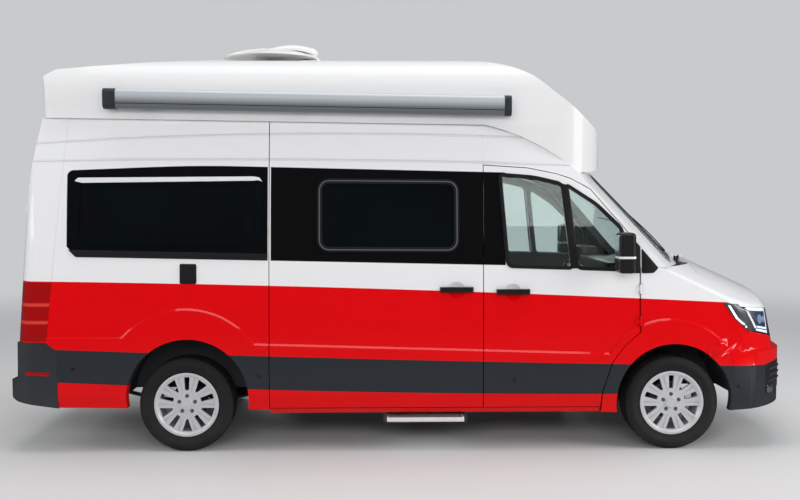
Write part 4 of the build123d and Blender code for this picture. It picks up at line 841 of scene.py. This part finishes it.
# window frames on both sides, with the seals of the cab doors
doorSeal = {"rounding": 0.028, "thick": 0.008, "lift": 0.001, "ring": (0.02, 0.007), "soft": 0.0015}
camperOutline = [(-0.640, 1.519), (-0.640, 2.012), (0.363, 2.005), (0.363, 1.515)]
windowTrim = {
    "doorLightSeal": (doorBody, "black_plastic", {
        "outline": [(0.758, 1.392), (0.702, 2.060), (0.950, 2.040), (1.155, 1.992), (1.230, 1.378)],
        **doorSeal}),
    "quarterLightSeal": (doorBody, "black_plastic", {
        "outline": [(1.276, 1.376), (1.202, 1.976), (1.410, 1.842), (1.600, 1.660), (1.640, 1.364)],
        **doorSeal}),
    "camperFrame": ("van_body", "black_plastic", {
        "outline": camperOutline, "rounding": 0.062, "thick": 0.012, "lift": 0.001, "ring": (0.026, 0.012),
        "soft": 0.004}),
    "camperLine": ("van_body", "awning_grey", {
        "outline": camperOutline, "rounding": 0.062, "thick": 0.0045, "lift": 0.011, "ring": (0.012, -0.006),
        "soft": 0.001}),
    "quarterFrame": ("van_body", "dark_glass", {
        "outline": [(-2.488, 1.552), (-2.468, 2.052), (-1.062, 2.058), (-1.062, 1.536)],
        "rounding": 0.05, "thick": 0.014, "lift": 0.001, "ring": (0.0, 0.062), "soft": 0.006}),
    # a silver strip along the top of the quarter frame is a painted highlight, standing in for the light
    # caught on the frame's top edge
    "quarterHighlightStrip": ("van_body", "step_alloy", {
        "outline": [(-2.452, 2.018), (-2.425, 2.042), (-1.135, 2.052), (-1.092, 2.044), (-1.070, 2.012),
                    (-1.098, 2.024), (-1.140, 2.020), (-2.400, 2.004)],
        "rounding": 0.006, "thick": 0.004, "lift": 0.014, "soft": 0.001}),
}
for side, hand in bothSides:
    trimPlates(windowTrim, side, hand)
print("stage: windows")

# right side only: a service flap with its lid, and the sliding door's rail
serviceFlap = {
    "outline": [(-1.679, 1.259), (-1.679, 1.407), (-1.556, 1.405), (-1.556, 1.257)],
    "rounding": 0.012, "thick": 0.009, "soft": 0.003,
}
serviceLid = {
    "outline": [(-1.667, 1.271), (-1.667, 1.395), (-1.568, 1.393), (-1.568, 1.269)],
    "rounding": 0.010, "thick": 0.006, "lift": 0.008, "soft": 0.002,
}
doorRail = {
    "outline": [(-2.498, 1.512), (-2.442, 1.458), (-1.036, 1.434), (-1.036, 1.480)],
    "rounding": 0.004, "thick": 0.010, "soft": 0.003,
}
flap = [sidePlate("serviceFlap", -1, **serviceFlap), sidePlate("serviceLid", -1, **serviceLid)]
settled(joined("serviceFlap", flap), "van_body", "black_plastic")
settled(sidePlate("doorRail", -1, **doorRail), "van_body", "black_plastic")

# parking sensors: the third of each side is on the cab door
parkSensor = {"spots": [(-2.465, 0.631), (-1.097, 0.573), (0.799, 0.5355), (2.483, 0.483)], "onDoor": 2,
              "radius": 0.011, "sunk": 0.001, "high": 0.003, "rim": 0.002, "dish": -0.0012}
for side, hand in bothSides:
    for count, (x, z) in enumerate(parkSensor["spots"]):
        sensor = openPiece("parkSensor_%s_%d" % (hand, count), "circle", vertices=24, fill_type="NGON",
                           radius=parkSensor["radius"], rotation=(side * -pi / 2, 0, 0),
                           location=(x, skinY(x, z, side) - side * parkSensor["sunk"], z))
        pickAll()
        drawn((0, side * parkSensor["high"], 0))
        bpy.ops.mesh.inset(thickness=parkSensor["rim"])
        drawn((0, side * parkSensor["dish"], 0))
        body = doorBody.format(hand) if count == parkSensor["onDoor"] else "van_body"
        settled(cleaned(sensor), body, "black_plastic")

# awning: end caps and one groove along the case, both on its slightly sloping line
awningShape = {"rear": (-2.209, 2.616), "front": (0.763, 2.569), "y": (-1.032, -0.916), "high": 0.144,
               "caps": [(-1, -2.213, -2.120), (1, 0.714, 0.767)], "over": 0.003, "round": 0.036,
               "soft": 0.003, "softAngle": 50.0, "dishInset": 0.014, "dishDepth": 0.004}
awningGroove = {"x": (-2.122, 0.716), "out": 0.0012, "in": 0.004, "z": -0.034, "half": 0.0025, "soft": 0.0005}


def followAwning(piece):
    (x0, z0), (x1, z1) = awningShape["rear"], awningShape["front"]
    for vertex in piece.data.vertices:
        vertex.co.z += z0 + (z1 - z0) * (vertex.co.x - x0) / (x1 - x0)


(yLow, yHigh), over = awningShape["y"], awningShape["over"]
half = awningShape["high"] / 2 + over
for count, (outer, x0, x1) in enumerate(awningShape["caps"]):
    cap = boxOf("awningCap_%d" % count, (x0, yLow - over, -half), (x1, yHigh + over, half))
    roundAlong(cap, 0, awningShape["round"])
    followAwning(cap)
    pickFacing(cap, 0, outer)
    dished((awningShape["dishInset"], (-awningShape["dishDepth"] * outer, 0, 0)))
    softened(cap, awningShape["soft"], angle=awningShape["softAngle"])
    settled(cleaned(cap), "van_body", "dark_plastic")
groove = boxOf("awningGroove_0",
               (awningGroove["x"][0], yLow - awningGroove["out"], awningGroove["z"] - awningGroove["half"]),
               (awningGroove["x"][1], yLow + awningGroove["in"], awningGroove["z"] + awningGroove["half"]),
               awningGroove["soft"], 1)
followAwning(groove)
settled(cleaned(groove), "van_body", "black_plastic")
print("stage: side fittings")

# parts of the cab doors: divider bars, sail panels, mirror bands and mirror glass
cabTrim = {
    "doorDivider": (doorBody, "black_plastic", {
        "outline": [(1.150, 2.004), (1.207, 1.985), (1.281, 1.370), (1.225, 1.368)],
        "rounding": 0.0, "thick": 0.009, "lift": 0.001, "soft": 0.002}),
    "sailPanel": (doorBody, "black_plastic", {
        "outline": [(1.700, 1.578), (1.7415, 1.530), (1.7415, 1.332), (1.655, 1.333)],
        "rounding": 0.004, "thick": 0.008, "soft": 0.003}),
    "sailTip": ("van_body", "black_plastic", {
        "outline": [(1.7515, 1.518), (1.878, 1.372), (1.842, 1.333), (1.7515, 1.332)],
        "rounding": 0.010, "thick": 0.008, "soft": 0.003}),
}
mirrorTrim = {
    "x": (1.528, 1.652), "y": (1.058, 1.213), "z": (1.345, 1.642),
    "band": (1.452, 1.470), "bandOver": 0.002, "bandRound": 0.032, "bandSoft": 0.003, "bandAngle": 60.0,
    "glassEdge": 0.018, "glassGap": 0.004, "glassX": (-0.003, 0.004), "glassRound": 0.014,
}


def mirrorBand(name):
    (x0, x1), (y0, y1), (low, high) = mirrorTrim["x"], mirrorTrim["y"], mirrorTrim["band"]
    over = mirrorTrim["bandOver"]
    band = boxOf(name, (x0 - over, y0 - over, low), (x1 + over, y1 + over, high))
    roundAlong(band, 2, mirrorTrim["bandRound"])
    softened(band, mirrorTrim["bandSoft"], angle=mirrorTrim["bandAngle"])
    return cleaned(band)


def mirrorPanes(name):
    x, (y0, y1), (z0, z1) = mirrorTrim["x"][0], mirrorTrim["y"], mirrorTrim["z"]
    edge, gap, (back, front) = mirrorTrim["glassEdge"], mirrorTrim["glassGap"], mirrorTrim["glassX"]
    (bandLow, bandHigh), panes = mirrorTrim["band"], []
    for low, high in ((z0 + edge, bandLow - gap), (bandHigh + gap, z1 - edge)):
        pane = boxOf("mirrorPane", (x + back, y0 + edge, low), (x + front, y1 - edge, high))
        roundAlong(pane, 0, mirrorTrim["glassRound"], segments=5)
        panes.append(pane)
    return cleaned(joined(name, panes))


for side, hand in bothSides:
    trimPlates(cabTrim, side, hand)
    band = mirrorBand("mirrorBand_" + hand)
    shownBand = copied(band, "mirrorBand_" + hand, side=side)
    removed(band)
    settled(shownBand, doorBody.format(hand), "step_alloy")
    panes = mirrorPanes("mirrorGlass")
    shownPanes = copied(panes, "mirrorGlass_" + hand, side=side)
    removed(panes)
    settled(shownPanes, doorBody.format(hand), "awning_grey", "mirror")
print("stage: cab doors")


# a copy of a CAD node's own skin; whatever else is selected at the time is copied and edited with it
def takenFrom(node, name):
    node.select_set(True)
    bpy.context.view_layer.objects.active = node
    bpy.ops.object.duplicate(linked=False)
    piece = named(bpy.context.object, name)
    piece.parent = None
    pickAll()
    bpy.ops.mesh.remove_doubles(threshold=0.0001)
    bpy.ops.object.mode_set(mode="OBJECT")
    return piece


# where a corner piece stands on one side, and its outline as seen there
def cornerPlace(trim, side):
    return {key: (trim[key][0], -side * trim[key][1]) for key in ("centre", "facing")}


def turned(outline, side):
    return [(x * -side, z) for x, z in outline]


# head lamps: dark bezel inside the clear lens, with light strips and two round projectors
headLamp = {
    "shrink": -0.014, "facing": (0.50, -0.866), "centre": (2.66, -0.86),
    "strips": [
        [(-0.150, 1.062), (-0.120, 1.068), (0.130, 1.040), (0.128, 1.018), (-0.110, 1.044)],
        [(-0.118, 1.040), (-0.140, 1.046), (-0.055, 0.905), (-0.040, 0.915)],
        [(-0.040, 0.905), (-0.046, 0.890), (0.125, 0.852), (0.127, 0.872)],
        [(-0.030, 0.925), (-0.036, 0.912), (0.126, 0.880), (0.127, 0.895)],
        [(0.112, 1.018), (0.128, 1.018), (0.127, 0.895), (0.112, 0.898)],
    ],
    "strip": {"rounding": 0.004, "thick": 0.006, "lift": -0.015, "soft": 0.001, "pitch": 0.02},
    "eyes": [(0.015, 0.972, 0.034), (0.078, 0.965, 0.026)],
    "eyeSides": 24,
    "eye": {"rounding": 0.0, "thick": 0.008, "lift": -0.015, "soft": 0.003, "pitch": 0.5},
    "tail": {
        "outline": [(2.362, 1.113), (2.446, 0.999), (2.529, 0.922), (2.580, 0.893), (2.600, 0.960),
                    (2.480, 1.098)],
        "rounding": 0.006, "thick": 0.006, "soft": 0.002, "pitch": 0.02},
    "tailStrip": {
        "outline": [(2.398, 1.092), (2.418, 1.090), (2.476, 0.998), (2.556, 0.926), (2.544, 0.918),
                    (2.460, 0.992)],
        "rounding": 0.003, "thick": 0.003, "lift": 0.0055, "soft": 0.001, "pitch": 0.02},
}
# on the left round the right projectors are still selected, so a second, shrunken copy of them is made
bpy.ops.object.select_all(action="DESELECT")
for side, hand in bothSides:
    bezel = takenFrom(nodes["headlamps"], "lampBezel_" + hand)
    pick(bezel, "FACE", lambda face: face.center.y * side < 0)
    bpy.ops.mesh.delete(type="FACE")
    pickAll()
    bpy.ops.mesh.normals_make_consistent(inside=False)
    bpy.ops.transform.shrink_fatten(value=headLamp["shrink"], use_even_offset=True)
    bpy.ops.object.mode_set(mode="OBJECT")
    settled(cleaned(bezel, 30.0), "van_body", "black_plastic", "lampBowl")
    lampTail = sidePlate("lampTail_" + hand, side, **headLamp["tail"])
    settled(lampTail, "van_body", "black_plastic", "lampBowl")
    tailStrip = sidePlate("lampTailStrip_" + hand, side, **headLamp["tailStrip"])
    settled(tailStrip, "van_body", "lamp_clear", "lampLight")
    place = {**cornerPlace(headLamp, side), "names": ("headlamps",)}
    strips = [endPlate("strip", outline=turned(outline, side), **place, **headLamp["strip"])
              for outline in headLamp["strips"]]
    settled(joined("lampStrips_" + hand, strips), "van_body", "lamp_clear", "lampLight")
    eyes = []
    for x, z, radius in headLamp["eyes"]:
        turns = [2 * pi * k / headLamp["eyeSides"] for k in range(headLamp["eyeSides"])]
        ring = [(x * -side + radius * cos(turn), z + radius * sin(turn)) for turn in turns]
        eyes.append(endPlate("eye", outline=ring, **place, **headLamp["eye"]))
    settled(joined("lampProjectors_" + hand, eyes), "van_body", "lamp_clear", "lampEye")
print("stage: head lamps")

# front bumper: the solid's own skin with its lower edge cut along the line it has in the photograph
bumperCut = {"at": (2.40, 0.0, 0.294), "normal": (-0.076, 0.0, 1.0)}
bpy.ops.object.select_all(action="DESELECT")
bumperSkin = takenFrom(nodes["front_bumper"], "bumperSkin")
pickAll()
bpy.ops.mesh.bisect(plane_co=bumperCut["at"], plane_no=bumperCut["normal"], clear_inner=True, use_fill=True)
settled(cleaned(bumperSkin, 30.0), "van_body", "bumper_paint")
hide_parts("front_bumper")

# front bumper corners: vent, slats and fog lamp; rear bumper: reflectors
bumperTrim = {
    "facing": (0.62, -0.785), "centre": (2.78, -0.80),
    "ventOutline": [(-0.125, 0.640), (0.115, 0.655), (0.135, 0.440), (-0.120, 0.405)],
    "vent": {"rounding": 0.02, "thick": 0.006, "lift": -0.001, "soft": 0.002},
    "slatLevels": [0.600, 0.555, 0.510], "slatReach": (-0.10, 0.11), "slatHalf": 0.007, "slatSlope": 0.05,
    "slat": {"rounding": 0.004, "thick": 0.012, "lift": 0.003, "soft": 0.003},
    "fogOutline": [(-0.112, 0.470), (-0.035, 0.478), (-0.028, 0.418), (-0.110, 0.412)],
    "fog": {"rounding": 0.012, "thick": 0.008, "lift": 0.004, "soft": 0.003},
    "reflector": {
        "outline": [(-2.815, 0.585), (-2.815, 0.613), (-2.640, 0.604), (-2.640, 0.576)],
        "rounding": 0.006, "thick": 0.005, "soft": 0.0015},
}
for side, hand in bothSides:
    place = {**cornerPlace(bumperTrim, side), "names": ("front_bumper",)}
    vent = endPlate("bumperVent_" + hand, outline=turned(bumperTrim["ventOutline"], side), **place,
                    **bumperTrim["vent"])
    settled(vent, "van_body", "black_plastic")
    slats = []
    for level in bumperTrim["slatLevels"]:
        bar = oblong(bumperTrim["slatReach"][0], -bumperTrim["slatHalf"],
                     bumperTrim["slatReach"][1], bumperTrim["slatHalf"])
        bar = [(x, level + z + bumperTrim["slatSlope"] * x) for x, z in bar]
        slats.append(endPlate("slat", outline=turned(bar, side), **place, **bumperTrim["slat"]))
    settled(joined("bumperSlats_" + hand, slats), "van_body", "dark_plastic")
    fog = endPlate("fogLamp_" + hand, outline=turned(bumperTrim["fogOutline"], side), **place,
                   **bumperTrim["fog"])
    settled(fog, "van_body", "lamp_clear", "mirror")
    settled(sidePlate("rearReflector_" + hand, side, **bumperTrim["reflector"]), "van_body", "lamp_red")
print("stage: bumper trim")

# rear: plate holder with a blank plate, handle in its cup, third lamp and window seals; front: a blank plate
plateOutline = oblong(-0.26, 1.020, 0.26, 1.135)
handleOutline = oblong(-0.09, 1.185, 0.09, 1.225)
onRearDoors = {"facing": (-1.0, 0.0),
               "names": ("rear_door_right", "rear_door_left", "rear_portal", "high_roof")}
atPlate = {"centre": (0.0, -0.40), **onRearDoors}
atHandle = {"centre": (0.0, -0.13), **onRearDoors}
rearTrim = {
    "holder": {"outline": scaled(plateOutline, 1.05, 1.14), "rounding": 0.008, "thick": 0.008, "soft": 0.003},
    "plate": {"outline": plateOutline, "rounding": 0.008, "thick": 0.003, "lift": 0.008, "soft": 0.001},
    "handle": {"outline": handleOutline, "rounding": 0.012, "thick": 0.016, "soft": 0.005},
    "cup": {"outline": scaled(handleOutline, 1.15, 1.6), "rounding": 0.016, "thick": 0.005, "soft": 0.002},
    "lamp": {"outline": oblong(-0.16, 2.700, 0.16, 2.724), "rounding": 0.010, "thick": 0.010, "soft": 0.003,
             "centre": (0.0, 0.0), "facing": (-1.0, 0.0), "names": ("high_roof",)},
    "seal": {"rounding": 0.05, "thick": 0.006, "ring": (0.012, 0.014), "soft": 0.002,
             "centre": (0.0, 0.0), "facing": (-1.0, 0.0)},
    "frontPlate": {"outline": oblong(-0.26, 0.500, 0.26, 0.612), "rounding": 0.008, "thick": 0.006,
                   "soft": 0.0015, "centre": (0.0, 0.0), "facing": (1.0, 0.0), "names": ("front_bumper",)},
}
holder = endPlate("rearPlateHolder", **atPlate, **rearTrim["holder"])
settled(holder, "rear_door_right_body", "black_plastic")
plate = endPlate("rearPlate", **atPlate, **rearTrim["plate"])
settled(plate, "rear_door_right_body", "white_plastic")
pull = [endPlate("rearHandle", **atHandle, **rearTrim["handle"]),
        endPlate("rearHandleCup", **atHandle, **rearTrim["cup"])]
settled(joined("rearHandle", pull), "rear_door_right_body", "black_plastic")
settled(endPlate("thirdLamp", **rearTrim["lamp"]), "van_body", "lamp_red")
for side, hand in bothSides:
    spots = [vertex.co for vertex in nodes["rear_glass_" + hand].data.vertices]
    (y0, y1), (z0, z1) = ((min(p[k] for p in spots), max(p[k] for p in spots)) for k in (1, 2))
    seal = endPlate("rearSeal_" + hand, outline=oblong(-y1, z0, -y0, z1),
                    names=("rear_door_" + hand, "rear_glass_" + hand), **rearTrim["seal"])
    settled(seal, "rear_door_" + hand + "_body", "black_plastic")
settled(endPlate("frontPlate", **rearTrim["frontPlate"]), "van_body", "white_plastic")
print("stage: rear doors")

# dish: arched feed arm along its back with a rounded head at the hinge end
dishArm = {"x": (-1.15, -0.735), "half": 0.095, "crown": 3.163, "peak": -0.93, "fall": 0.95,
           "sideFall": 0.030, "taper": (0.62, 0.38), "thick": 0.034, "soft": 0.009,
           "head": 0.046, "headAt": (-0.768, 0.0, 3.092),
           "headStages": ((0.005, (0.008, 0.0, 0.0)), (0.006, (-0.005, 0.0, 0.0)))}
arm = openPiece("dishArm", "grid", x_subdivisions=18, y_subdivisions=6, size=1.0)
for vertex in arm.data.vertices:
    share, across = vertex.co.x + 0.5, 2.0 * vertex.co.y
    x = dishArm["x"][0] + (dishArm["x"][1] - dishArm["x"][0]) * share
    arch = dishArm["crown"] - dishArm["fall"] * (x - dishArm["peak"]) ** 2 - dishArm["sideFall"] * across ** 2
    taper = dishArm["taper"][0] + dishArm["taper"][1] * share
    vertex.co = (x, dishArm["half"] * taper * across, arch)
applied(arm, "SOLIDIFY", thickness=dishArm["thick"], offset=-1.0)
softened(arm, dishArm["soft"], segments=3, angle=50.0)
cleaned(arm, 40.0)
head = openPiece("dishHead", "uv_sphere", segments=32, ring_count=18, radius=dishArm["head"],
                 location=dishArm["headAt"])
pickFacing(head, 0, least=0.86)
dished(*dishArm["headStages"])
cleaned(head, 40.0)
settled(joined("dishArm", [arm, head]), "dish_body", "white_plastic")
print("stage: dish")

# step: ribs along the tread
stepRibs = {"x": (-0.135, 0.415), "y": (-0.975, -0.75), "count": 7, "half": 0.005, "z": (0.252, 0.257),
            "soft": 0.0015}
ribs = []
for k in range(stepRibs["count"]):
    y = stepRibs["y"][0] + (stepRibs["y"][1] - stepRibs["y"][0]) * k / (stepRibs["count"] - 1)
    ribs.append(boxOf("rib", (stepRibs["x"][0], y - stepRibs["half"], stepRibs["z"][0]),
                      (stepRibs["x"][1], y + stepRibs["half"], stepRibs["z"][1]), stepRibs["soft"], 2))
settled(cleaned(joined("stepRibs", ribs)), "step_body", "black_plastic")

# wipers: arm and blade on the windscreen
wiperShape = {
    "lines": [((2.020, -0.56), (1.79, -0.02)), ((2.020, 0.10), (1.79, 0.62))], "besideGlass": 1.40,
    "soft": 0.002, "thickShare": 0.8,
    "rods": {"arm": {"from": 0.0, "to": 0.62, "wide": 0.010, "high": 0.012, "shift": 0.03},
             "blade": {"from": 0.18, "to": 1.0, "wide": 0.006, "high": 0.010, "shift": 0.0}},
}
for count, ((x0, y0), (x1, y1)) in enumerate(wiperShape["lines"]):
    parts = []
    for name, rod in wiperShape["rods"].items():
        piece = openPiece(name, "grid", x_subdivisions=14, y_subdivisions=1, size=1.0)
        for vertex in piece.data.vertices:
            share = rod["from"] + (rod["to"] - rod["from"]) * (vertex.co.x + 0.5)
            x = x0 + (x1 - x0) * share + rod["shift"]
            y = y0 + (y1 - y0) * share + vertex.co.y * rod["wide"]
            found = skinPoint(("windscreen", "cowl"), (x, y, castFrom["above"]), (0, 0, -1))
            vertex.co = (x, y, (wiperShape["besideGlass"] if found is None else found.z) + rod["high"])
        applied(piece, "SOLIDIFY", thickness=rod["high"] * wiperShape["thickShare"], offset=0.0)
        softened(piece, wiperShape["soft"])
        parts.append(cleaned(piece))
    settled(joined("wiper_%d" % count, parts), "van_body", "black_plastic")
print("stage: step and wipers")

# cab seats: pedestal, posts and padded cushions; one seat is made and copied across
seatShape = {
    "across": 0.43, "voxel": 0.012, "round": 0.32, "smooth": {"factor": 0.5, "repeat": 6}, "fill": 0.75,
    "pressure": 4.0, "swell": 0.010, "frames": 20,
    "pads": {
        "cushion": ((0.570, -0.238, 0.800), (1.070, 0.238, 0.905)),
        "back": ((0.556, -0.238, 0.915), (0.664, 0.238, 1.418)),
        "headrest": ((0.572, -0.120, 1.462), (0.640, 0.120, 1.598)),
    },
    "seams": {"cushion": 0.150, "back": 0.150, "headrest": 0.085}, "seamHalf": 0.011, "seamDepth": 0.007,
    "pedestal": ((0.630, -0.195, 0.511), (0.995, 0.195, 0.795)),
    "pedestalInset": 0.03, "pedestalDepth": 0.008, "pedestalSoft": 0.008,
    "postX": 0.606, "postY": (-0.055, 0.055), "postZ": (1.400, 1.500), "postRadius": 0.006, "postRim": 0.0015,
}


def swollen(piece):
    before = [vertex.co.copy() for vertex in piece.data.vertices]
    cloth = piece.modifiers.new("cloth", "CLOTH")
    cloth.settings.use_pressure = True
    cloth.settings.uniform_pressure_force = seatShape["pressure"]
    cloth.settings.effector_weights.gravity = 0.0
    for count in range(1, seatShape["frames"] + 1):
        bpy.context.scene.frame_set(count)
    bpy.ops.object.modifier_apply(modifier=cloth.name)
    bpy.context.scene.frame_set(1)
    for vertex, start in zip(piece.data.vertices, before):
        move = vertex.co - start
        if move.length > seatShape["swell"]:
            vertex.co = start + move * (seatShape["swell"] / move.length)


def paddedBlock(name):
    low, high = seatShape["pads"][name]
    radius = min(high[k] - low[k] for k in range(3)) * seatShape["round"]
    piece = boxOf("seat_" + name, low, high, radius)
    applied(piece, "REMESH", mode="VOXEL", voxel_size=seatShape["voxel"])
    pickAll()
    bpy.ops.mesh.vertices_smooth(**seatShape["smooth"])
    bpy.ops.object.mode_set(mode="OBJECT")
    swollen(piece)
    applied(piece, "SUBSURF", levels=1, render_levels=1)
    middle = (Vector(low) + Vector(high)) / 2
    for vertex in piece.data.vertices:
        fromSeam = abs(abs(vertex.co.y - middle.y) - seatShape["seams"][name])
        if fromSeam < seatShape["seamHalf"]:
            inward = (middle - vertex.co).normalized()
            inward.y = 0.0
            vertex.co += inward * seatShape["seamDepth"] * (1 - (fromSeam / seatShape["seamHalf"]) ** 2)
    return cleaned(piece, 60.0)


def seatPedestal():
    piece = boxOf("seatPedestal", *seatShape["pedestal"])
    pick(piece, "FACE", lambda face: abs(face.normal.z) < 0.5)
    bpy.ops.mesh.inset(thickness=seatShape["pedestalInset"], use_individual=True)
    depth = {"value": -seatShape["pedestalDepth"]}
    bpy.ops.mesh.extrude_region_shrink_fatten(TRANSFORM_OT_shrink_fatten=depth)
    softened(piece, seatShape["pedestalSoft"], segments=3)
    return cleaned(piece)


def seatPosts():
    posts, (low, high) = [], seatShape["postZ"]
    for y in seatShape["postY"]:
        post = openPiece("post", "cylinder", vertices=20, radius=seatShape["postRadius"], depth=high - low,
                         location=(seatShape["postX"], y, (low + high) / 2))
        pick(post, "FACE", lambda face: abs(face.normal.z) > 0.9)
        bpy.ops.mesh.inset(thickness=seatShape["postRim"])
        posts.append(cleaned(post))
    return joined("seatPosts", posts)


seatPads = {key: paddedBlock(key) for key in seatShape["pads"]}
pedestal, postPair = seatPedestal(), seatPosts()
for side, hand in bothSides:
    place = (0.0, side * seatShape["across"], 0.0)
    base = settled(copied(pedestal, "seatPedestal_" + hand, place), "van_body", "dark_plastic")
    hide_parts("cab_seats")
    settled(copied(postPair, "seatPosts_" + hand, place), "van_body", "step_alloy")
    for key, pad in seatPads.items():
        shown = copied(pad, "seat_" + key + "_" + hand, place)
        settled(shown, "van_body", "seat_fabric", "seatCloth")
removed(pedestal, postPair, *seatPads.values())
print("stage: seats")

# dashboard hood with its shelf, screen, and the steering wheel's pad
dashHood = {"box": ((1.560, 0.225, 1.300), (1.690, 0.635, 1.470)), "rim": 0.018, "depth": 0.05,
            "soft": 0.012, "segments": 3}
dashShelf = {"box": ((1.540, -0.820, 1.318), (1.692, 0.215, 1.400)), "round": 0.008}
dashScreen = {"box": ((1.470, -0.135, 1.150), (1.492, 0.135, 1.300)), "rim": 0.014, "depth": 0.003,
              "soft": 0.004, "segments": 2}
wheelPad = {"hub": (1.380, 0.430, 1.190), "column": (-0.77, 0.0, 0.64), "out": 0.016, "radius": 0.078,
            "depth": 0.036, "soft": 0.004, "stages": ((0.012, (0, 0, 0.008)), (0.02, (0, 0, 0.004)))}


# a box that is hollowed towards the front on the side that faces the driver
def hollowBox(name, shape):
    piece = boxOf(name, *shape["box"])
    pickFacing(piece, 0, -1)
    bpy.ops.mesh.inset(thickness=shape["rim"])
    drawn((shape["depth"], 0.0, 0.0))
    softened(piece, shape["soft"], shape["segments"])
    return cleaned(piece)


hood = hollowBox("dashHood", dashHood)
shelf = cleaned(boxOf("dashShelf", *dashShelf["box"], dashShelf["round"]))
settled(joined("dashHood", [hood, shelf]), "van_body", "black_plastic")
settled(hollowBox("dashScreen", dashScreen), "van_body", "dark_glass")
pad = openPiece("wheelPad", "cylinder", vertices=40, radius=wheelPad["radius"], depth=wheelPad["depth"])
pickFacing(pad, 2)
dished(*wheelPad["stages"])
softened(pad, wheelPad["soft"])
cleaned(pad)
columnAxis = Vector(wheelPad["column"]).normalized()
pad.rotation_euler = columnAxis.to_track_quat("Z", "Y").to_euler()
pad.location = Vector(wheelPad["hub"]) + columnAxis * wheelPad["out"]
settled(pad, "steering_wheel_body", "black_plastic")
print("stage: dashboard")

# studio: pale floor that fades into the backdrop, soft light from above and all around
studio = {
    "floor": (0.70, 0.705, 0.71),
    "floorRadius": 16.0,
    "floorCloud": {"scale": 0.6, "detail": 2.0},
    "floorTone": 0.97,
    "floorMirrored": 0.16,
    "fade": (4.0, 15.0),
    "backdrop": (0.58, 0.59, 0.60),
    "mirrored": (0.04, 0.042, 0.045),
    "ambient": (0.34, 0.345, 0.35),
    "cameraAt": (-0.20, -8.0, 1.90),
    "yaw": 1.21,
    "pitch": -3.20,
    "lens": 42.7,
    "sensor": 36.0,
}


def floorPaint(name):
    material, tree, shader, point = startMaterial(
        name, studio["floor"], Roughness=0.6, **{"Specular IOR Level": 0.2})
    cloud = noiseAt(tree, point, **studio["floorCloud"])
    shade = mixColour(tree, cloud, studio["floor"], toned(studio["floor"], studio["floorTone"]))
    glossy = tree.nodes.new("ShaderNodeLightPath").outputs["Is Glossy Ray"]
    shade = mixColour(tree, glossy, shade, toned(studio["floor"], studio["floorMirrored"]))
    tree.links.new(shade, shader.inputs["Base Color"])
    reach = tree.nodes.new("ShaderNodeVectorMath")
    reach.operation = "LENGTH"
    tree.links.new(point, reach.inputs[0])
    edge = tree.nodes.new("ShaderNodeMapRange")
    edge.interpolation_type = "SMOOTHERSTEP"
    for label, value in zip(("From Min", "From Max", "To Min", "To Max"), (*studio["fade"], 1.0, 0.0)):
        edge.inputs[label].default_value = value
    tree.links.new(reach.outputs["Value"], edge.inputs["Value"])
    tree.links.new(edge.outputs[0], shader.inputs["Alpha"])
    return material


floor = openPiece("studioFloor", "circle", vertices=96, radius=studio["floorRadius"], fill_type="NGON")
floor.data.materials.append(floorPaint("studioFloorPaint"))

world = bpy.data.worlds.new("studioWorld")
bpy.context.scene.world = world
world.use_nodes = True
sky = world.node_tree
rays = sky.nodes.new("ShaderNodeLightPath").outputs
seen = calc(sky, "MAXIMUM", rays["Is Camera Ray"], rays["Is Transmission Ray"])
skyColour = mixColour(sky, rays["Is Glossy Ray"], studio["ambient"], studio["mirrored"])
skyColour = mixColour(sky, seen, skyColour, studio["backdrop"])
sky.links.new(skyColour, sky.nodes["Background"].inputs["Color"])
sky.nodes["Background"].inputs["Strength"].default_value = 1.0

softBoxes = [
    # name, place, aim, width, height, watts
    ("overhead", (0.0, -1.0, 8.0), (0.0, 0.0, 1.0), 8.0, 3.5, 270.0),
    ("sideBox", (-0.5, -9.5, 3.9), (0.2, 0.0, 0.7), 8.0, 2.0, 335.0),
    ("noseBox", (7.5, -3.5, 3.6), (2.0, 0.0, 1.0), 3.0, 3.0, 235.0),
    ("tailBox", (-7.5, -2.5, 3.4), (-2.0, 0.0, 1.0), 3.0, 3.0, 110.0),
    ("farBox", (0.0, 7.5, 4.5), (0.0, 0.0, 1.2), 7.0, 2.6, 180.0),
]
for name, place, aim, width, height, watts in softBoxes:
    bpy.ops.object.light_add(type="AREA", location=place)
    lamp = bpy.context.object
    lamp.name = name
    lamp.data.shape = "RECTANGLE"
    lamp.data.size = width
    lamp.data.size_y = height
    lamp.data.energy = watts
    lamp.visible_glossy = name != "sideBox"
    lamp.rotation_euler = (Vector(aim) - Vector(place)).to_track_quat("-Z", "Y").to_euler()

bpy.ops.object.camera_add(location=studio["cameraAt"])
camera = bpy.context.object
camera.data.lens = studio["lens"]
camera.data.sensor_width = studio["sensor"]
camera.rotation_euler = (pi / 2 + radians(studio["pitch"]), 0.0, -radians(studio["yaw"]))
bpy.context.scene.camera = camera
bpy.context.scene.view_settings.view_transform = "Standard"
print("stage: studio")
